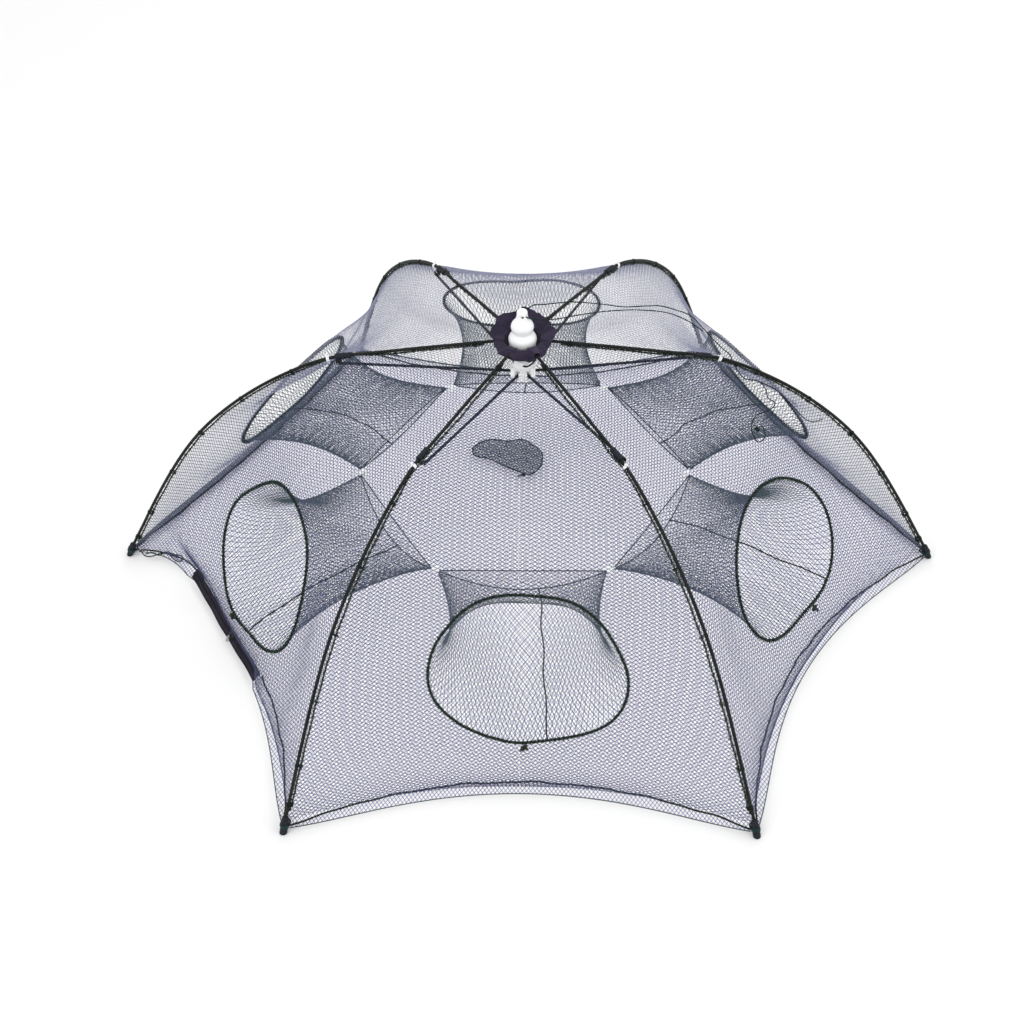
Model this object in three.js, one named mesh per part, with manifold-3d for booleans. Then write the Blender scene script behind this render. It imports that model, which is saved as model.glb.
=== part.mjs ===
// Folding crab trap: an umbrella frame of six sprung ribs carrying a net tent with a netted floor.
// Units are millimetres, +Z up. Origin: on the centre line, at the level of the undersides of the
// six tip caps. Rib n stands at azimuth 60*(n-1) degrees; panel, ring and funnel n sit between
// rib n and rib n+1. In the code index = n-1, and a [radius, height] pair lies on an azimuth plane.
import * as THREE from 'three';
import { mergeVertices } from 'three/addons/utils/BufferGeometryUtils.js';
import Module from 'manifold-3d';

const wasm = await Module();
wasm.setup();

// ---------------------------------------------------------------- driving dimensions
const DEG = Math.PI / 180;
const COS_30 = Math.cos(30 * DEG);
const SIN_30 = 0.5;

const COUNT = 6; // ribs, and panels between them
const TIP_RADIUS = 465; // circle through the six rib tips
const RIB_ROD_RADIUS = 1.75;
const RIB_BORE_RADIUS = 2.3; // clearance bore round a rib
const STRETCHER_RADIUS = 1.5;

const HUB_PIVOT = [21, 306]; // rib hinge
const RIB_JOINT = [195, 281.5]; // stretcher-to-rib pivot
const RUNNER_PIVOT = [10, 267]; // stretcher-to-runner pivot
const STRETCHER_SIDE = 6; // sideways offset of a stretcher's outer eye from the rib's plane
const EAR_SIDE = 2; // sideways offset of a joint's ear
const JOINT_HOLE_RADIUS = 0.9;

// rib centre line, hub to tip: radius, height
const RIB_LINE = [
  HUB_PIVOT, [28, 305.3], [70, 300.6], [108, 296.4], [150, 291.2], [195, 285.7],
  [222, 278], [256, 262], [288, 243], [320, 219], [350, 191], [374, 162],
  [398, 126], [422, 85], [444, 44], [459, 16], [464, 5.5],
];
const JOINT_STATION = 5; // index in RIB_LINE of the point above the stretcher's pivot
const RIB_START_SHIFT = 1.6; // a rib rod starts this far outside its hinge

const PIN_Z = 279; // cross pin through the runner and centre rod
const PIN_HOLE_RADIUS = 1.1;
const CORD_HOLE_Z = 339; // hole for the lift cord in the handle's neck

const RING = { radius: 313, z: 135, halfWidth: 98.5, halfHeight: 78, lean: 27 * DEG, wire: 1.7 };
const SLIT = { cornerRadius: 185.5, z: 126, halfWidth: 87, halfHeight: 5, power: 0.7 };
const NET = 1; // thickness standing for a sheet of net
const FLOOR_Z = 3.6; // underside of the floor net

const TIP_CHORD = TIP_RADIUS * COS_30; // centre line to the straight line between two tips
const MID_EDGE = 343; // radius of the lower edge halfway between two tips
const EDGE_DEPTH = TIP_CHORD - MID_EDGE;

const ZIP_PANEL = 3; // index of the panel with the zip; its edge is straighter on that side
const ZIP = { azimuth: 210, radius: 361, from: -156, to: 35, slider: -36 }; // sideways stations

const PAINT = {
  blackPlastic: { color: 0x15151a, roughness: 0.45, metalness: 0 },
  cloth: { color: 0x241c33, roughness: 0.95, metalness: 0 },
  whitePlastic: { color: 0xf2f3f5, roughness: 0.22, metalness: 0 },
  rod: { color: 0x17181a, roughness: 0.38, metalness: 0 },
  wire: { color: 0xb6b8ba, roughness: 0.35, metalness: 1 },
  net: { color: 0x2f4a52, roughness: 0.8, metalness: 0 },
  cord: { color: 0x1d332f, roughness: 0.85, metalness: 0 },
  zip: { color: 0x101012, roughness: 0.6, metalness: 0 },
  metal: { color: 0x2a2a2c, roughness: 0.35, metalness: 0.9 },
};

// ---------------------------------------------------------------- places
const vec = (x, y, z) => new THREE.Vector3(x, y, z);
const clamp01 = value => THREE.MathUtils.clamp(value, 0, 1);
const ribAzimuth = index => 60 * index;
const panelAzimuth = index => 60 * index + 30;

// point on the plane of an azimuth (degrees); sideways is positive towards higher azimuth
function at(azimuth, radius, z, sideways = 0) {
  const cos = Math.cos(azimuth * DEG);
  const sin = Math.sin(azimuth * DEG);
  return vec(radius * cos - sideways * sin, radius * sin + sideways * cos, z);
}
// turn that takes local X to radial and local Y to sideways
const turn = azimuth => new THREE.Quaternion().setFromAxisAngle(vec(0, 0, 1), azimuth * DEG);
const move = (shape, position, rotation = new THREE.Quaternion()) =>
  shape.applyMatrix4(new THREE.Matrix4().compose(position, rotation, vec(1, 1, 1)));

// ---------------------------------------------------------------- surfaces and solids
// one indexed surface with position only
function clean(shape) {
  shape.deleteAttribute('normal');
  shape.deleteAttribute('uv');
  return mergeVertices(shape, 1e-4);
}

function indexedGeometry(positions, indices) {
  const shape = new THREE.BufferGeometry();
  shape.setAttribute('position', new THREE.BufferAttribute(new Float32Array(positions), 3));
  shape.setIndex(new THREE.BufferAttribute(new Uint32Array(indices), 1));
  return shape;
}

function toSolid(shape) {
  const surface = clean(shape);
  return new wasm.Manifold(new wasm.Mesh({
    numProp: 3,
    vertProperties: new Float32Array(surface.attributes.position.array),
    triVerts: new Uint32Array(surface.index.array),
  }));
}
const join = (solid, ...shapes) => shapes.reduce((sum, shape) => sum.add(toSolid(shape)), solid);
const cut = (solid, ...shapes) =>
  shapes.reduce((rest, shape) => rest.subtract(toSolid(shape)), solid);
// one shape for each rib azimuth
const aroundRibs = make => Array.from({ length: COUNT }, (_, index) => make(ribAzimuth(index)));

function cylinder(from, to, radius, sides) {
  const axis = to.clone().sub(from);
  const shape = new THREE.CylinderGeometry(radius, radius, axis.length(), sides);
  const middle = from.clone().add(to).multiplyScalar(0.5);
  const rotation = new THREE.Quaternion().setFromUnitVectors(vec(0, 1, 0), axis.normalize());
  return move(shape, middle, rotation);
}
const uprightCylinder = (bottom, top, radius, sides) =>
  cylinder(vec(0, 0, bottom), vec(0, 0, top), radius, sides);
// cylinder lying square to the azimuth plane, centred at `sideways`
const crossCylinder = (azimuth, [r, z], sideways, halfLength, radius, sides) => cylinder(
  at(azimuth, r, z, sideways - halfLength), at(azimuth, r, z, sideways + halfLength), radius, sides);

// box with size [radial, sideways, height], centred at a place on the azimuth plane
const block = (azimuth, size, radius, z, sideways = 0) =>
  move(new THREE.BoxGeometry(...size), at(azimuth, radius, z, sideways), turn(azimuth));

// profile points are [radius, height]
const lathe = (profile, segments) => new THREE.LatheGeometry(
  profile.map(point => new THREE.Vector2(...point)), segments).rotateX(Math.PI / 2);

function polygon(points) {
  const shape = new THREE.Shape();
  shape.moveTo(...points[0]);
  for (const point of points.slice(1)) shape.lineTo(...point);
  shape.closePath();
  return shape;
}
const sheet = (outline, depth) =>
  new THREE.ExtrudeGeometry(polygon(outline), { depth, bevelEnabled: false });

const pathThrough = points => new THREE.CatmullRomCurve3(points, false, 'centripetal');

// six-sided rod on a smooth path through the points
function rod(points, radius, steps) {
  const section = Array.from({ length: 6 }, (_, corner) => {
    const angle = 2 * Math.PI * (corner + 0.5) / 6;
    return [radius * Math.cos(angle), radius * Math.sin(angle)];
  });
  return new THREE.ExtrudeGeometry(polygon(section),
    { steps, bevelEnabled: false, extrudePath: pathThrough(points) });
}

const ribRod = (azimuth, radius) => rod(RIB_LINE.map(([r, z], station) =>
  at(azimuth, r + (station === 0 ? RIB_START_SHIFT : 0), z)), radius, 22);

// closed curve whose point is a function of the angle
class Loop extends THREE.Curve {
  constructor(pointAt) {
    super();
    this.pointAt = pointAt;
  }

  getPoint(t, target = new THREE.Vector3()) {
    return target.copy(this.pointAt(2 * Math.PI * t));
  }
}
// four-sided closed tube
const loopTube = (pointAt, segments, radius) =>
  clean(new THREE.TubeGeometry(new Loop(pointAt), segments, radius, 4, true));

// closed thin shell; rows[row][column] are points of its middle surface, each row a closed loop
function shell(rows, thickness) {
  const height = rows.length;
  const width = rows[0].length;
  const normals = rows.map((points, row) => points.map((_, column) => {
    const along = rows[Math.min(row + 1, height - 1)][column].clone()
      .sub(rows[Math.max(row - 1, 0)][column]);
    const across = points[(column + 1) % width].clone()
      .sub(points[(column + width - 1) % width]);
    return along.cross(across).normalize();
  }));
  const positions = [];
  for (const share of [0.5, -0.5]) {
    rows.forEach((points, row) => points.forEach((point, column) => {
      const moved = point.clone().addScaledVector(normals[row][column], share * thickness);
      positions.push(...moved.toArray());
    }));
  }
  const indices = [];
  const id = (face, row, column) => (face * height + row) * width + column % width;
  const quad = (first, second, third, fourth) =>
    indices.push(first, second, third, first, third, fourth);
  for (let row = 0; row < height - 1; row++) {
    for (let column = 0; column < width; column++) {
      const next = column + 1;
      quad(id(0, row, column), id(0, row + 1, column),
        id(0, row + 1, next), id(0, row, next));
      // the second face keeps the same diagonal, wound the other way
      indices.push(id(1, row, column), id(1, row + 1, next), id(1, row + 1, column));
      indices.push(id(1, row, column), id(1, row, next), id(1, row + 1, next));
    }
  }
  const last = height - 1;
  for (let column = 0; column < width; column++) {
    const next = column + 1;
    quad(id(0, 0, column), id(0, 0, next), id(1, 0, next), id(1, 0, column));
    // rim of the last row, wound the other way
    indices.push(id(0, last, column), id(1, last, next), id(0, last, next));
    indices.push(id(0, last, column), id(1, last, column), id(1, last, next));
  }
  return indexedGeometry(positions, indices);
}

const trap = new THREE.Group();

function add(name, shape, paint) {
  const mesh = new THREE.Mesh(shape, new THREE.MeshStandardMaterial(PAINT[paint]));
  mesh.name = name;
  trap.add(mesh);
}
function addSolid(name, solid, paint) {
  const { vertProperties, triVerts } = solid.getMesh();
  add(name, indexedGeometry(vertProperties, triVerts), paint);
}

// ---------------------------------------------------------------- hub
// torus through the six rib hinges
const hingeTorus = radius =>
  move(new THREE.TorusGeometry(HUB_PIVOT[0], radius, 6, 36), vec(0, 0, HUB_PIVOT[1]));

// dished ring: six slots hold the rib eyes, the bore opens into the dish
function addHubBody() {
  const profile = [
    [13.4, 297], [24.5, 297], [26.5, 299], [27, 309],
    [25.5, 311.5], [18.4, 311.5], [13.4, 299], [13.4, 297],
  ];
  // slots open outwards and downwards, closed above by the rim
  const slots = aroundRibs(azimuth => block(azimuth, [22, 4.8, 24], HUB_PIVOT[0], 297.3));
  addSolid('hub_body', cut(toSolid(lathe(profile, 36)), ...slots, hingeTorus(1.15)),
    'blackPlastic');
}

// gathered cloth cover over the hub, open in the middle for the handle
function addHubCap() {
  const columns = 36;
  const innerRadius = 18.8;
  const outerRadius = 32.5;
  const innerZ = 313.4;
  const drop = 1.2;
  const scallop = 1.6; // six waves in the outline
  const ripple = 1.3; // twelve waves in the height
  const rows = [0, 0.5, 1].map(share => Array.from({ length: columns }, (_, column) => {
    const angle = 2 * Math.PI * column / columns;
    const edge = outerRadius + scallop * Math.sin(6 * angle) - scallop;
    const wave = ripple * Math.sin(12 * angle);
    return at(360 * column / columns, innerRadius + (edge - innerRadius) * share,
      innerZ + (wave - drop) * share * share);
  }));
  add('hub_cap', shell(rows, 1.6), 'cloth');
}

// two-lobed handle: its lower lobe sits in the hub's dish
function addHandle() {
  const lobe = (radius, z, from, to, steps) => Array.from({ length: steps + 1 }, (_, step) => {
    const angle = (from + (to - from) * step / steps) * DEG;
    return [radius * Math.cos(angle), z + radius * Math.sin(angle)];
  });
  const profile = [
    [0, 299.2], [11.9, 299.2],
    ...lobe(15, 308.2, -33, 34, 5),
    [11.2, 318.2],
    ...lobe(12.3, 323.5, -12, 52, 4),
    [5.6, 335.2], [5, 337], [5, 341.4], [3.6, 343.4], [0, 344],
  ];
  const cordHole = crossCylinder(0, [0, CORD_HOLE_Z], 0, 12, 1.7, 10);
  const rodSocket = uprightCylinder(290, 311, 4.6, 24);
  addSolid('gourd_handle', cut(toSolid(lathe(profile, 24)), cordHole, rodSocket),
    'whitePlastic');
}

// hollow rod from the handle down to the runner
function addCentreRod() {
  const bore = uprightCylinder(250, 320, 2.6, 20);
  const pinHole = crossCylinder(0, [0, PIN_Z], 0, 8, PIN_HOLE_RADIUS, 10);
  addSolid('centre_rod', cut(toSolid(uprightCylinder(259, 310.5, 4.25, 24)), bore, pinHole),
    'whitePlastic');
}

// six-slot runner, with a cross bar in each slot for a stretcher's eye
function addRunner() {
  const profile = [
    [4.6, 258], [10, 258], [12.9, 260], [12.9, 271.5], [11.4, 273],
    [9.2, 274], [9.2, 282], [8.4, 283], [4.6, 283], [4.6, 258],
  ];
  const slots = aroundRibs(azimuth => block(azimuth, [8.6, 3.8, 14.5], 11, 266.6));
  const bars = aroundRibs(azimuth => crossCylinder(azimuth, RUNNER_PIVOT, 0, 2.6, 0.75, 8));
  const pinHole = crossCylinder(0, [0, PIN_Z], 0, 14, PIN_HOLE_RADIUS, 10);
  const slotted = cut(toSolid(lathe(profile, 36)), ...slots);
  addSolid('runner', cut(join(slotted, ...bars), pinHole), 'whitePlastic');
}

// ---------------------------------------------------------------- ribs, stretchers, joints, tips
function addRib(index) {
  const azimuth = ribAzimuth(index);
  const eye = crossCylinder(azimuth, HUB_PIVOT, 0, 1.8, 2.9, 14);
  const eyeHole = crossCylinder(azimuth, HUB_PIVOT, 0, 4, 1.3, 10);
  const solid = join(toSolid(ribRod(azimuth, RIB_ROD_RADIUS)), eye);
  addSolid(`rib_${index + 1}`, cut(solid, eyeHole), 'rod');
}

function addStretcher(index) {
  const azimuth = ribAzimuth(index);
  const inner = at(azimuth, ...RUNNER_PIVOT);
  const outer = at(azimuth, ...RIB_JOINT, STRETCHER_SIDE);
  const along = outer.clone().sub(inner).normalize();
  // the rod stops inside both eyes
  const shaft = cylinder(inner.addScaledVector(along, 1), outer.addScaledVector(along, -1.5),
    STRETCHER_RADIUS, 6);
  const solid = join(toSolid(shaft),
    crossCylinder(azimuth, RUNNER_PIVOT, 0, 1.4, 2.3, 12),
    crossCylinder(azimuth, RIB_JOINT, STRETCHER_SIDE, 1.5, 2.3, 12));
  addSolid(`stretcher_${index + 1}`, cut(solid,
    crossCylinder(azimuth, RUNNER_PIVOT, 0, 3, 1.15, 8),
    crossCylinder(azimuth, RIB_JOINT, STRETCHER_SIDE, 4, JOINT_HOLE_RADIUS, 8)), 'rod');
}

// sleeve round the rib, with an ear that reaches down to the stretcher's pivot
function addRibJoint(index) {
  const azimuth = ribAzimuth(index);
  const centre = at(azimuth, ...RIB_LINE[JOINT_STATION]);
  const along = centre.clone().sub(at(azimuth, ...RIB_LINE[JOINT_STATION - 1])).normalize();
  const sleeve = cylinder(centre.clone().addScaledVector(along, -14),
    centre.clone().addScaledVector(along, 3), 3.4, 12);
  const ear = block(azimuth, [7, 2.2, 6.4], RIB_JOINT[0] - 0.2, 282, EAR_SIDE);
  // the bore follows the rib's own line
  addSolid(`rib_joint_${index + 1}`, cut(join(toSolid(sleeve), ear),
    ribRod(azimuth, RIB_BORE_RADIUS),
    crossCylinder(azimuth, RIB_JOINT, EAR_SIDE, 3, JOINT_HOLE_RADIUS, 8)), 'blackPlastic');
}

// blind cap on the rib's end, cut flat at ground level
function addTipCap(index) {
  const azimuth = ribAzimuth(index);
  const body = cylinder(at(azimuth, 466.4, -2), at(azimuth, 459, 17.5), 4.2, 12);
  const ground = block(azimuth, [40, 40, 10], 466, -5);
  const [before, end] = RIB_LINE.slice(-2).map(point => at(azimuth, ...point));
  const along = end.clone().sub(before).normalize();
  const socket = cylinder(end.clone().addScaledVector(along, -4),
    end.clone().addScaledVector(along, 0.6), 2.6, 12);
  addSolid(`tip_cap_${index + 1}`,
    cut(toSolid(body), ground, ribRod(azimuth, RIB_BORE_RADIUS), socket), 'blackPlastic');
}

// ---------------------------------------------------------------- net tent
// In a panel, `across` runs from -1 at its first rib to +1 at the next.
const onZipSide = (panel, across) => panel === ZIP_PANEL && across < 0;

// distance of a panel's lower edge from the centre line, measured along the panel's azimuth
function edgeRadius(panel, across) {
  const power = onZipSide(panel, across) ? 8 : 2;
  return TIP_CHORD - EDGE_DEPTH * (1 - Math.abs(across) ** power);
}

const ribCurve = pathThrough(RIB_LINE.map(([r, z]) => vec(r, 0, z)));
const RIB_INSET = 5; // sideways shortening of a panel at each rib
// inward pull of the net between ribs; the powers of `low` set where each part takes hold
const PULL = { all: 4, upper: 10, lower: 12 };
const HEM_PULL = EDGE_DEPTH - PULL.all - PULL.upper - PULL.lower; // brings the hem to MID_EDGE

// canopy point: share `down` along the rib, share `across` the panel
function canopyPoint(panel, down, across) {
  const { x: radius, z } = ribCurve.getPointAt(down);
  const low = clamp01((300 - z) / 300); // 0 at the hub, 1 at the ground
  const pull = PULL.all + PULL.upper * low ** 0.6 + PULL.lower * low ** 3 + HEM_PULL * low ** 10;
  const power = onZipSide(panel, across) ? 2 + 6 * low ** 4 : 2;
  const slack = 1 - Math.abs(across) ** power; // 0 on the ribs, 1 halfway between them
  const sag = 7 * Math.sin(Math.PI * clamp01(down * 1.6)) * (1 - Math.abs(across) ** 6);
  const lift = 2.8 * clamp01((0.5 - down) / 0.1); // clears the upper half of the ribs
  const hemLift = 0.45 * Math.max(0, 12 - z);
  return at(panelAzimuth(panel), radius * COS_30 - pull * slack,
    z + lift - sag * slack + hemLift, across * (radius / 2 - RIB_INSET));
}

// point on an ellipse parallel to the entry ring: angle 0 towards the next rib, a quarter turn
// at the top; `grow` adds to both half axes, `out` moves it outwards square to the ring's plane
function ringPoint(panel, angle, grow = 0, out = 0) {
  const sideways = Math.cos(angle) * (RING.halfWidth + grow);
  const rise = Math.sin(angle) * (RING.halfHeight + grow);
  const cosLean = Math.cos(RING.lean);
  const sinLean = Math.sin(RING.lean);
  return at(panelAzimuth(panel), RING.radius - rise * sinLean + out * cosLean,
    RING.z + rise * cosLean + out * sinLean, sideways);
}

function addEntryRing(panel) {
  add(`entry_ring_${panel + 1}`,
    loopTube(angle => ringPoint(panel, angle), 26, RING.wire), 'cord');
}

// from just inside the ring to a flat slit
function addFunnel(panel) {
  const columns = 20;
  const mouth = [];
  const slit = [];
  for (let column = 0; column < columns; column++) {
    const angle = 2 * Math.PI * column / columns;
    const cos = Math.cos(angle);
    mouth.push(ringPoint(panel, angle, -3.2, -1.5));
    slit.push(at(panelAzimuth(panel), SLIT.cornerRadius * COS_30,
      SLIT.z + SLIT.halfHeight * Math.sin(angle),
      SLIT.halfWidth * Math.sign(cos) * Math.abs(cos) ** SLIT.power));
  }
  add(`funnel_${panel + 1}`, shell([mouth, slit], NET), 'net');
}

// tent panel with its entry hole: strips from the panel's edge in to the hole's edge
function addCanopyPanel(panel) {
  const ribShares = [0.03, 0.18, 0.33, 0.45, 0.57, 0.69, 0.81, 0.9, 0.965];
  const hemShare = 0.985;
  const outer = ribShares.map(down => canopyPoint(panel, down, 1));
  for (let i = 1; i < 8; i++) outer.push(canopyPoint(panel, hemShare, 1 - 2 * i / 8));
  outer.push(...ribShares.toReversed().map(down => canopyPoint(panel, down, -1)));
  for (let i = 1; i < 3; i++) outer.push(canopyPoint(panel, ribShares[0], -1 + 2 * i / 3));

  // each outer point gets the hole point in its direction from the ring's centre
  const azimuth = panelAzimuth(panel);
  const centre = at(azimuth, RING.radius, RING.z);
  const sideways = at(azimuth, 0, 0, 1);
  const hole = outer.map(point => {
    const offset = point.clone().sub(centre);
    const angle = Math.atan2(offset.z * RING.halfWidth / RING.halfHeight, offset.dot(sideways));
    return ringPoint(panel, angle, 3.4, 0.6);
  });
  const rows = [1, 0.5, 0].map(share =>
    hole.map((point, column) => point.clone().lerp(outer[column], share)));
  add(`canopy_panel_${panel + 1}`, shell(rows, NET), 'net');
}

// one sixth of the floor net, a kite from the centre to a rib tip
function addFloorNet(index) {
  const hemInset = 2.5;
  const seamGap = 0.5; // clearance at the middle of each panel
  const shares = [0, 0.25, 0.5, 0.72, 0.9, 0.965]; // from a panel's middle to the rib
  // side is -1 for the panel before the rib and +1 for the one after; local X points to the tip
  const edgePoint = (panel, share, side) => {
    const radius = edgeRadius(panel, -side * share) - hemInset;
    const offset = share * TIP_RADIUS / 2 + (share === 0 ? seamGap : 0);
    return [radius * COS_30 + offset * SIN_30, side * (radius * SIN_30 - offset * COS_30)];
  };
  const before = (index + COUNT - 1) % COUNT;
  const outline = [
    [2, 0],
    ...shares.map(share => edgePoint(before, share, -1)),
    ...shares.toReversed().map(share => edgePoint(index, share, 1)),
  ];
  const net = move(sheet(outline, NET), vec(0, 0, FLOOR_Z), turn(ribAzimuth(index)));
  add(`floor_net_${index + 1}`, clean(net), 'net');
}

// ---------------------------------------------------------------- bait pocket, zip, cords
function addBaitPocket() {
  // x, y from the pocket's centre
  const outline = [
    [-43, 16], [-34, 27], [-20, 33], [2, 30], [20, 33], [33, 22],
    [46, 2], [44, -20], [30, -36], [16, -32], [-20, -6], [-40, 2],
  ];
  const position = at(99, 176, FLOOR_Z + NET + 0.6);
  add('bait_pocket', clean(move(sheet(outline, 7), position)), 'net');
}

function addZip() {
  const { azimuth, radius, from, to, slider } = ZIP;
  const tape = block(azimuth, [1.6, to - from, 12], radius, 8.4, (from + to) / 2);
  add('zipper_tape', clean(tape), 'zip');

  const bodyWidth = 6.4;
  const body = block(azimuth, [bodyWidth, 11, 9.6], radius, 11.6, slider);
  const tapeSlot = block(azimuth, [2.4, 14, 10], radius, 9.8, slider);
  const pull = block(azimuth, [1.6, 5, 13], radius + bodyWidth / 2, 10.5, slider);
  addSolid('zipper_slider', join(cut(toSolid(body), tapeSlot), pull), 'metal');
}

// through the handle's neck and away over panels 1 and 2's side of the tent
function addLiftCord() {
  // x, y, z
  const path = [
    [0, -7.5, CORD_HOLE_Z], [0, -2, CORD_HOLE_Z], [0, 3, CORD_HOLE_Z], [0, 8, CORD_HOLE_Z],
    [3, 14, 337.5], [14, 23, 331], [40, 36, 320], [80, 58, 312], [122, 80, 303],
    [160, 96, 294], [196, 102, 286], [230, 98, 277], [262, 92, 262], [292, 90, 238],
    [318, 96, 206],
  ];
  add('lift_cord', clean(rod(path.map(point => vec(...point)), 1, 30)), 'cord');
}

// loop of cord lying by rib tip 4
function addTieLoop() {
  const centre = at(181.5, 424, 7.6).add(vec(0, -9, 0));
  const pointAt = angle =>
    vec(centre.x + 24 * Math.cos(angle), centre.y + 6 * Math.sin(angle), centre.z);
  add('tie_loop', loopTube(pointAt, 16, 0.9), 'cord');
}

// ---------------------------------------------------------------- assembly
addHubBody();
add('hub_pivot_wire', clean(hingeTorus(0.75)), 'wire');
addHubCap();
addHandle();
addCentreRod();
addRunner();
add('rod_cross_pin', clean(crossCylinder(0, [0, PIN_Z], 0, 9.6, 0.8, 10)), 'metal');
for (let index = 0; index < COUNT; index++) {
  addRib(index);
  addStretcher(index);
  addRibJoint(index);
  addTipCap(index);
}
for (let index = 0; index < COUNT; index++) {
  addEntryRing(index);
  addFunnel(index);
  addCanopyPanel(index);
  addFloorNet(index);
}
addBaitPocket();
addZip();
addLiftCord();
addTieLoop();

export default trap;
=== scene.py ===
# A folding crab trap standing open: six sprung ribs from a hub at the top down to the floor, a net
# tent with an entry hoop and funnel in each panel, a net floor, a zip and a lift cord. The hub is
# above the origin on +Z and the floor is near z = 0. Rib 1 runs along +X and the others follow
# every 60 degrees anticlockwise; panel 1 lies between ribs 1 and 2. The camera is on -Y.
import math

import bpy
import numpy as np
from mathutils import Matrix, Vector


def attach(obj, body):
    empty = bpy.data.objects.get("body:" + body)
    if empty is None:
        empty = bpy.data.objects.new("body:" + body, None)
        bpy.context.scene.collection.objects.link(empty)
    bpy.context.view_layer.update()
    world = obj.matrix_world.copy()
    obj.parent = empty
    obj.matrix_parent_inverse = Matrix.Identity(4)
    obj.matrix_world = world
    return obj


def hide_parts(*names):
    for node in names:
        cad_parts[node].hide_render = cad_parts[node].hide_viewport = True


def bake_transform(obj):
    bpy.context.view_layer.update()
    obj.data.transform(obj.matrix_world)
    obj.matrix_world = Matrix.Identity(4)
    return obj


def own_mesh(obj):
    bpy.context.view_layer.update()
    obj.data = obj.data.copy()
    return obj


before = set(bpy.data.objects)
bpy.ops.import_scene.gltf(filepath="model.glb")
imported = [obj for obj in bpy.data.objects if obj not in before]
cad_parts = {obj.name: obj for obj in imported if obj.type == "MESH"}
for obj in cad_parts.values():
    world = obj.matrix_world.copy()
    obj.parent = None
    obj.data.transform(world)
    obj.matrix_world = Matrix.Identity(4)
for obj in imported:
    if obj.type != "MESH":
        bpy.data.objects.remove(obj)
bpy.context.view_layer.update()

DEG = math.pi / 180
TAU = math.tau
COS30 = math.cos(30 * DEG)
UP = np.array([0, 0, 1.0])

# ---------------------------------------------------------------- driving dimensions
TIP_RADIUS = 465.0
FLOOR_Z = 4.1
# rib line from the hub eye to the foot: (radius, height)
RIB_LINE = [
    [21, 306], [28, 305.3], [70, 300.6], [108, 296.4], [150, 291.2], [195, 285.7], [222, 278],
    [256, 262], [288, 243], [320, 219], [350, 191], [374, 162], [398, 126], [422, 85], [444, 44],
    [459, 16], [464, 5.5]]
JOINT_RADIUS, JOINT_Z = RIB_LINE[5]
RIVET_Z = 281.5
RUNNER_PIN = (10, 267)           # radius and height of a stretcher's inner eye
RIB_SWAY = [0.0, 0.25, -0.25, 0.0, 1.0, -1.0]   # side of each rib on which its seam hangs

# entry hoops: middle and lean of their plane; funnel's inner slit
RING_RADIUS, RING_Z, RING_LEAN = 313.0, 135.0, 27 * DEG
SLIT_RADIUS, SLIT_Z, SLIT_HALF = 185.5 * COS30, 126.0, 88.5

# one value for each panel
MID_EDGE = [392.0, 343.0, 392.0, 343.0, 343.0, 343.0]   # radius of the lower edge at its middle
HEM_OUT = [9.0, 14.0, 9.0, 14.0, 14.0, 14.0]            # selvedge, outside the seam cord
SAG = [27.0, 8.0, 27.0, 7.0, 4.0, 7.0]                  # inward fall between the ribs
THINNESS = [0.50, 0.72, 0.50, 0.86, 1.0, 0.86]          # share of the full yarn radius
# hoops: middle (sideways, up the plane), then mean radius and its cos, sin terms for 1 to 5 waves
HOOP_MIDDLE = [(2.0, -8.0), (9.0, 10.0), (6.0, -9.0), (1.1, 2.5), (8.3, 2.5), (7.1, 10.1)]
HOOP_SERIES = [
    [75.5, 0, 0, 17.0, 0, 0, 1.5, 0, 0, 0, 0],
    [76.0, 0, 0, 21.0, 0, 0, 0, 0, 2.0, 0, 0],
    [75.5, 0, 0, 17.0, 0, 1.5, 0, 0, 0, 0, 0],
    [87.7, 1.6, -2.4, 4.6, 0.1, -1.0, -4.1, -0.1, -1.1, -2.0, -0.4],
    [85.9, 0.1, -1.1, 10.5, -1.8, 0.1, -2.8, 0.0, -0.9, -0.6, -1.5],
    [87.0, -0.7, -4.8, 10.1, -3.3, -0.5, -5.4, -0.4, 0.6, 0.4, -0.4]]
WIDE_PANELS = (0, 2)             # far panels with the lower edge pulled in least

# zip, along the lower edge of panel 4; places are sideways distances from the panel's middle
ZIP_PANEL, ZIP_AZIMUTH = 3, 210
ZIP_START, ZIP_LENGTH = -153, 188
ZIP_END = ZIP_START + ZIP_LENGTH
ZIP_RISE, ZIP_RUN = 0.70, 0.714  # the tape leans inwards: up and inwards for each mm across it
ZIP_MIDDLE = 8.4                 # line of the teeth across the tapes

# net mesh: cell sizes and yarn radius
NET_WIDE, NET_TALL, NET_RADIUS = 7.8, 4.4, 0.315
FLOOR_CELL = (4.2, 6.6)


# ---------------------------------------------------------------- places and curves
def radial(azimuth):
    return np.array([math.cos(azimuth * DEG), math.sin(azimuth * DEG), 0.0])


def tangent(azimuth):
    return np.array([-math.sin(azimuth * DEG), math.cos(azimuth * DEG), 0.0])


def panel_azimuth(panel):
    return 60 * panel + 30


def at(azimuth, radius, height, across=0.0):
    """World points from a radius, a height and a sideways distance at an azimuth."""
    radius, height, across = np.broadcast_arrays(
        np.asarray(radius, float), np.asarray(height, float), np.asarray(across, float))
    return (radius[..., None] * radial(azimuth) + across[..., None] * tangent(azimuth)
            + height[..., None] * UP)


def local(centre, axes, points):
    """World points from coordinates along three axes through a centre."""
    return centre + np.array(points, float) @ np.array(axes)


def unit(v):
    return v / np.maximum(np.linalg.norm(v, axis=-1, keepdims=True), 1e-12)


def smooth(x):
    """Smooth step from 0 to 1."""
    x = np.clip(x, 0, 1)
    return x * x * (3 - 2 * x)


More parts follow.
